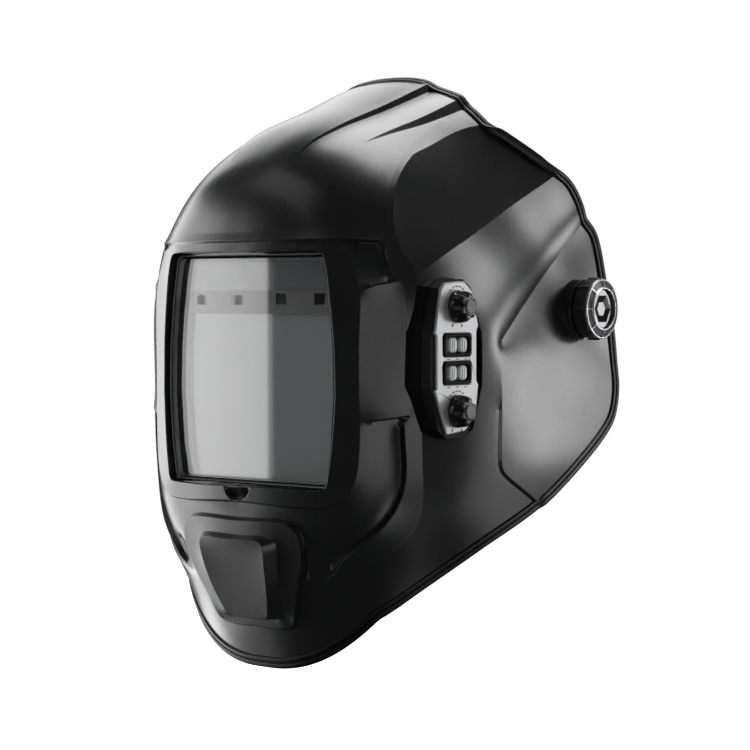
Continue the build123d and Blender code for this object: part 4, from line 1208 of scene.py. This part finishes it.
def tension_knob(word, body, place):
    """Grip with eight flats, a bevelled ring with eight recesses, and a disc with a hexagon sunk in it."""
    a = turn(192)
    facet = np.abs(((a * BARS / (2 * math.pi)) % 1) - 0.5) * 2
    grip_r = 17.5 - 1.1 * np.clip(1.12 - facet ** 5 * 1.3, 0, 1)
    grip = np.stack([grip_r * np.cos(a), grip_r * np.sin(a)], -1)
    levels = [(110.4, 0.7), (110.9, 0.1), (111.3, 0), (117.9, 0), (118.4, 0.4)]
    solid(f"grip_{word}", [grip, round_outline(0, 0, 6.5)], levels, place, "grip_black", body,
          [f"tension_grip_{word}"], angle=25)

    cell = np.array([-22.5, -20.9, -20.5, -10, 0, 10, 20.5, 20.9])
    around = np.radians(np.concatenate([cell + 360 / BARS * k for k in range(BARS)]) + 22.5)
    low = np.tile(np.array([0, 0, 1, 1, 1, 1, 1, 0]), BARS)
    rows = [ring(radius, around, h - RECESS_DEPTH * sunk * low) for radius, h, sunk in RING_LEVELS]
    trim = lathe(f"ring_{word}", rows, place, "ring", body, [f"tension_ring_{word}"],
                 angle=20, joined=True)
    # the recess floors take the darker copy of the ring's metal: painted shade
    trim.data.materials.append(PALETTE["painted_recess_shade"].mat)
    count = len(around)
    for k in range(count):
        if low[k] and low[(k + 1) % count]:
            trim.data.polygons[RECESS_ROW * count + k].material_index = 1

    n = 48
    rows = [round_outline(0, 0, radius, n) for radius in (10.9, 10.9, 10.5)]
    corner = np.arange(n) / (n / 6)
    for radius in (8.6, 4.2):
        hexagon = round_outline(0, 0, radius, 6).T
        rows.append(np.column_stack([np.interp(corner, range(7), np.append(v, v[0])) for v in hexagon]))
    heights = (118.42, 119.6, 119.9, 119.9, 119.0)
    rows = [np.column_stack([row, np.full(n, h)]) for row, h in zip(rows, heights)]
    lathe(f"disc_{word}", rows, place, "disc", body, [f"tension_disc_{word}"], angle=12)


tension_knob("left", "tension_knob_l", on_left)
tension_knob("right", "tension_knob_r", on_right)


# ------------------------------------------------------------------ ratchet knob
def ratchet_knob():
    """Knob with twelve flutes round it and a round dish in its face."""
    a = turn(192)
    fluted = 17.0 - 1.2 * np.clip(np.cos(a * 12), 0, 1) ** 0.8
    wall = ((101.8, -1.2), (102.1, -0.4), (102.6, 0), (108.6, 0), (109.4, -0.5), (109.8, -1.6))
    rows = [ring(fluted + grow, a, h) for h, grow in wall]
    rows += [ring(radius, a, h) for h, radius in ((109.7, 12.3), (109.0, 11.5))]
    lathe("ratchet_grip", rows, on_front, "knob_black", "ratchet", ["ratchet_knob"])


ratchet_knob()


# ------------------------------------------------------------------ padded pieces
def sweatband():
    """Padded strip inside the front of the headband: crowned face, pinched hem and a stitched channel."""
    n, k = 241, 40
    wide, front, end_y = 79.3, -93.8, -30.0
    reach = math.acos(end_y / front)
    verts = []
    for i in range(n):
        a = (2 * i / (n - 1) - 1) * reach
        base = np.array([wide * math.sin(a), front * math.cos(a)])
        normal = np.array([math.sin(a) / wide, math.cos(a) / front])
        normal = -normal / np.linalg.norm(normal)
        end = min(i, n - 1 - i) / 9
        plump = 1 - 0.9 * max(0.0, 1 - end) ** 2
        for j in range(k):
            t = j / k * 2 * math.pi
            z = 15 * math.copysign(abs(math.sin(t)) ** 0.62, math.sin(t))
            depth = 0.5 - 0.5 * math.cos(t)
            crown = (1 - (abs(z) / 15.2) ** 3.2) ** 0.5 if abs(z) < 15.2 else 0
            puff = 0.25 + (4.6 * plump * crown + 0.35 * math.sin(a * 31 + z * 0.2) * crown) * depth
            puff -= 1.3 * depth * math.exp(-((abs(z) - 9.5) / 0.9) ** 2) * plump
            stitch = 0.5 + 0.5 * math.cos(a * 90)
            puff -= 0.35 * depth * crown * stitch * math.exp(-((abs(z) - 12.5) / 1.6) ** 2)
            p = base + normal * max(puff, 0.2)
            verts.append((p[0], p[1], z * (1 - 0.012 * (1 + math.sin(a * 47)) * depth)))
    faces = tube_faces(n, k) + [list(range(k)), list(range((n - 1) * k, n * k))]
    obj = piece("sweatband_pad", verts, faces, "fabric", "headgear", ["front_sweatband"])
    outwards(obj)


def nape_pad():
    """Cushion on the ratchet cover: flat back, crowned front with two sewn channels."""
    outline = box_outline(0, 0, 62, 30, 8)
    back, hem = 89.4, 88.9
    rows = []
    for grow, y in ((0.02, back), (1, back), (1, hem)):
        rows.append(np.column_stack([outline * grow, np.full(len(outline), y)]))
    for side in np.linspace(0.0, 1, 22)[1:-1] ** 1.4:
        row = outline * (1 - side)
        up = (1 - (1 - min(1, side * 2.6)) ** 2) ** 0.5
        seam = np.exp(-((np.abs(row[:, 0]) - 14) / 1.2) ** 2)
        soft = 0.25 * np.sin(row[:, 0] * 0.5) * np.cos(row[:, 1] * 0.6)
        rows.append(np.column_stack([row, hem - up * (6.6 + soft) + 1.6 * seam * up]))
    obj = lathe("nape_cushion", rows, on_front, "fabric", "headgear", ["rear_pad"], angle=60)


sweatband()
nape_pad()


# ------------------------------------------------------------------ studio
LOOK_AT = Vector((0.0, -0.052, -0.03))


# azimuth (0 in front, 90 at the wearer's left) and elevation in degrees; distance, width and height in
# metres; power in watts
LAMPS = {
    "left_box": (-75, -2, 1.15, 1.38, 1.24, 21.5),
    "lens_panel": (-50, 0, 1.2, 0.551, 0.9, 3.2),
    "left_low": (-80, -33, 1.15, 0.42, 0.36, 2.0),
    "left_under": (-52, -37, 1.15, 0.5, 0.3, 0.5),
    "left_rim": (-122, 38, 1.2, 0.9, 0.7, 4.5),
    "top_box": (-172, 66, 1.1, 0.6, 0.5, 6.3),
    "right_back": (140, 0, 1.15, 0.26, 0.36, 2.5),
    "right_mid": (127, -14, 1.15, 0.5, 0.6, 1.3),
    "right_strip": (129, 22, 1.1, 0.32, 0.26, 2.2),
    "right_front": (61, -4, 1.2, 0.72, 0.62, 2.4),
    "right_low": (84, -33, 1.2, 0.4, 0.35, 0.8),
    "front_top": (-25, 52, 1.2, 0.8, 0.5, 1.0),
}


def soft_light(name, azimuth, elevation, distance, size_x, size_y, power):
    """Rectangular lamp that faces the helmet."""
    a, e = math.radians(azimuth), math.radians(elevation)
    data = bpy.data.lights.new(name, "AREA")
    data.shape = "RECTANGLE"
    data.size, data.size_y, data.energy = size_x, size_y, power
    obj = bpy.data.objects.new(name, data)
    bpy.context.scene.collection.objects.link(obj)
    way = Vector((math.sin(a) * math.cos(e), -math.cos(a) * math.cos(e), math.sin(e)))
    obj.location = LOOK_AT + way * distance
    obj.rotation_euler = (-way).to_track_quat("-Z", "Y").to_euler()


def surroundings():
    """White to the camera, and a dim fill for everything else."""
    world = bpy.data.worlds.new("studio")
    world.use_nodes = True
    tree = world.node_tree
    seen = tree.nodes["Background"]
    seen.inputs[0].default_value = (1, 1, 1, 1)
    seen.inputs[1].default_value = 1.0
    dim = tree.nodes.new("ShaderNodeBackground")
    dim.inputs[0].default_value = (0.9, 0.95, 1, 1)
    dim.inputs[1].default_value = 0.06
    path = tree.nodes.new("ShaderNodeLightPath")
    mix = tree.nodes.new("ShaderNodeMixShader")
    tree.links.new(path.outputs["Is Camera Ray"], mix.inputs[0])
    tree.links.new(dim.outputs[0], mix.inputs[1])
    tree.links.new(seen.outputs[0], mix.inputs[2])
    tree.links.new(mix.outputs[0], tree.nodes["World Output"].inputs["Surface"])
    bpy.context.scene.world = world
    bpy.context.scene.view_settings.view_transform = "Standard"


def pale_floor():
    mesh = bpy.data.meshes.new("floor")
    r, z = 40, -0.32
    mesh.from_pydata([(-r, -r, z), (r, -r, z), (r, r, z), (-r, r, z)], [], [(0, 1, 2, 3)])
    floor = bpy.data.objects.new("floor", mesh)
    bpy.context.scene.collection.objects.link(floor)
    m = bpy.data.materials.new("floor_white")
    m.use_nodes = True
    pale = m.node_tree.nodes["Principled BSDF"]
    pale.inputs["Base Color"].default_value = (0.9, 0.9, 0.9, 1)
    pale.inputs["Roughness"].default_value = 0.9
    pale.inputs["Emission Color"].default_value = (1, 1, 1, 1)
    pale.inputs["Emission Strength"].default_value = 1.0
    mesh.materials.append(m)
    floor.visible_glossy = False
    floor.visible_diffuse = False


def camera():
    """The photograph's view: from the front and the wearer's left, looking down 2.1 degrees."""
    cam = bpy.data.cameras.new("camera")
    cam.lens, cam.sensor_width = 97.4, 36
    obj = bpy.data.objects.new("camera", cam)
    bpy.context.scene.collection.objects.link(obj)
    obj.location = (0.708, -0.9747, 0.0046)
    obj.rotation_euler = (math.radians(90 - 2.1), 0, math.radians(37.5))
    bpy.context.scene.camera = obj


surroundings()
for lamp_name, lamp_values in LAMPS.items():
    soft_light(lamp_name, *lamp_values)
pale_floor()
camera()
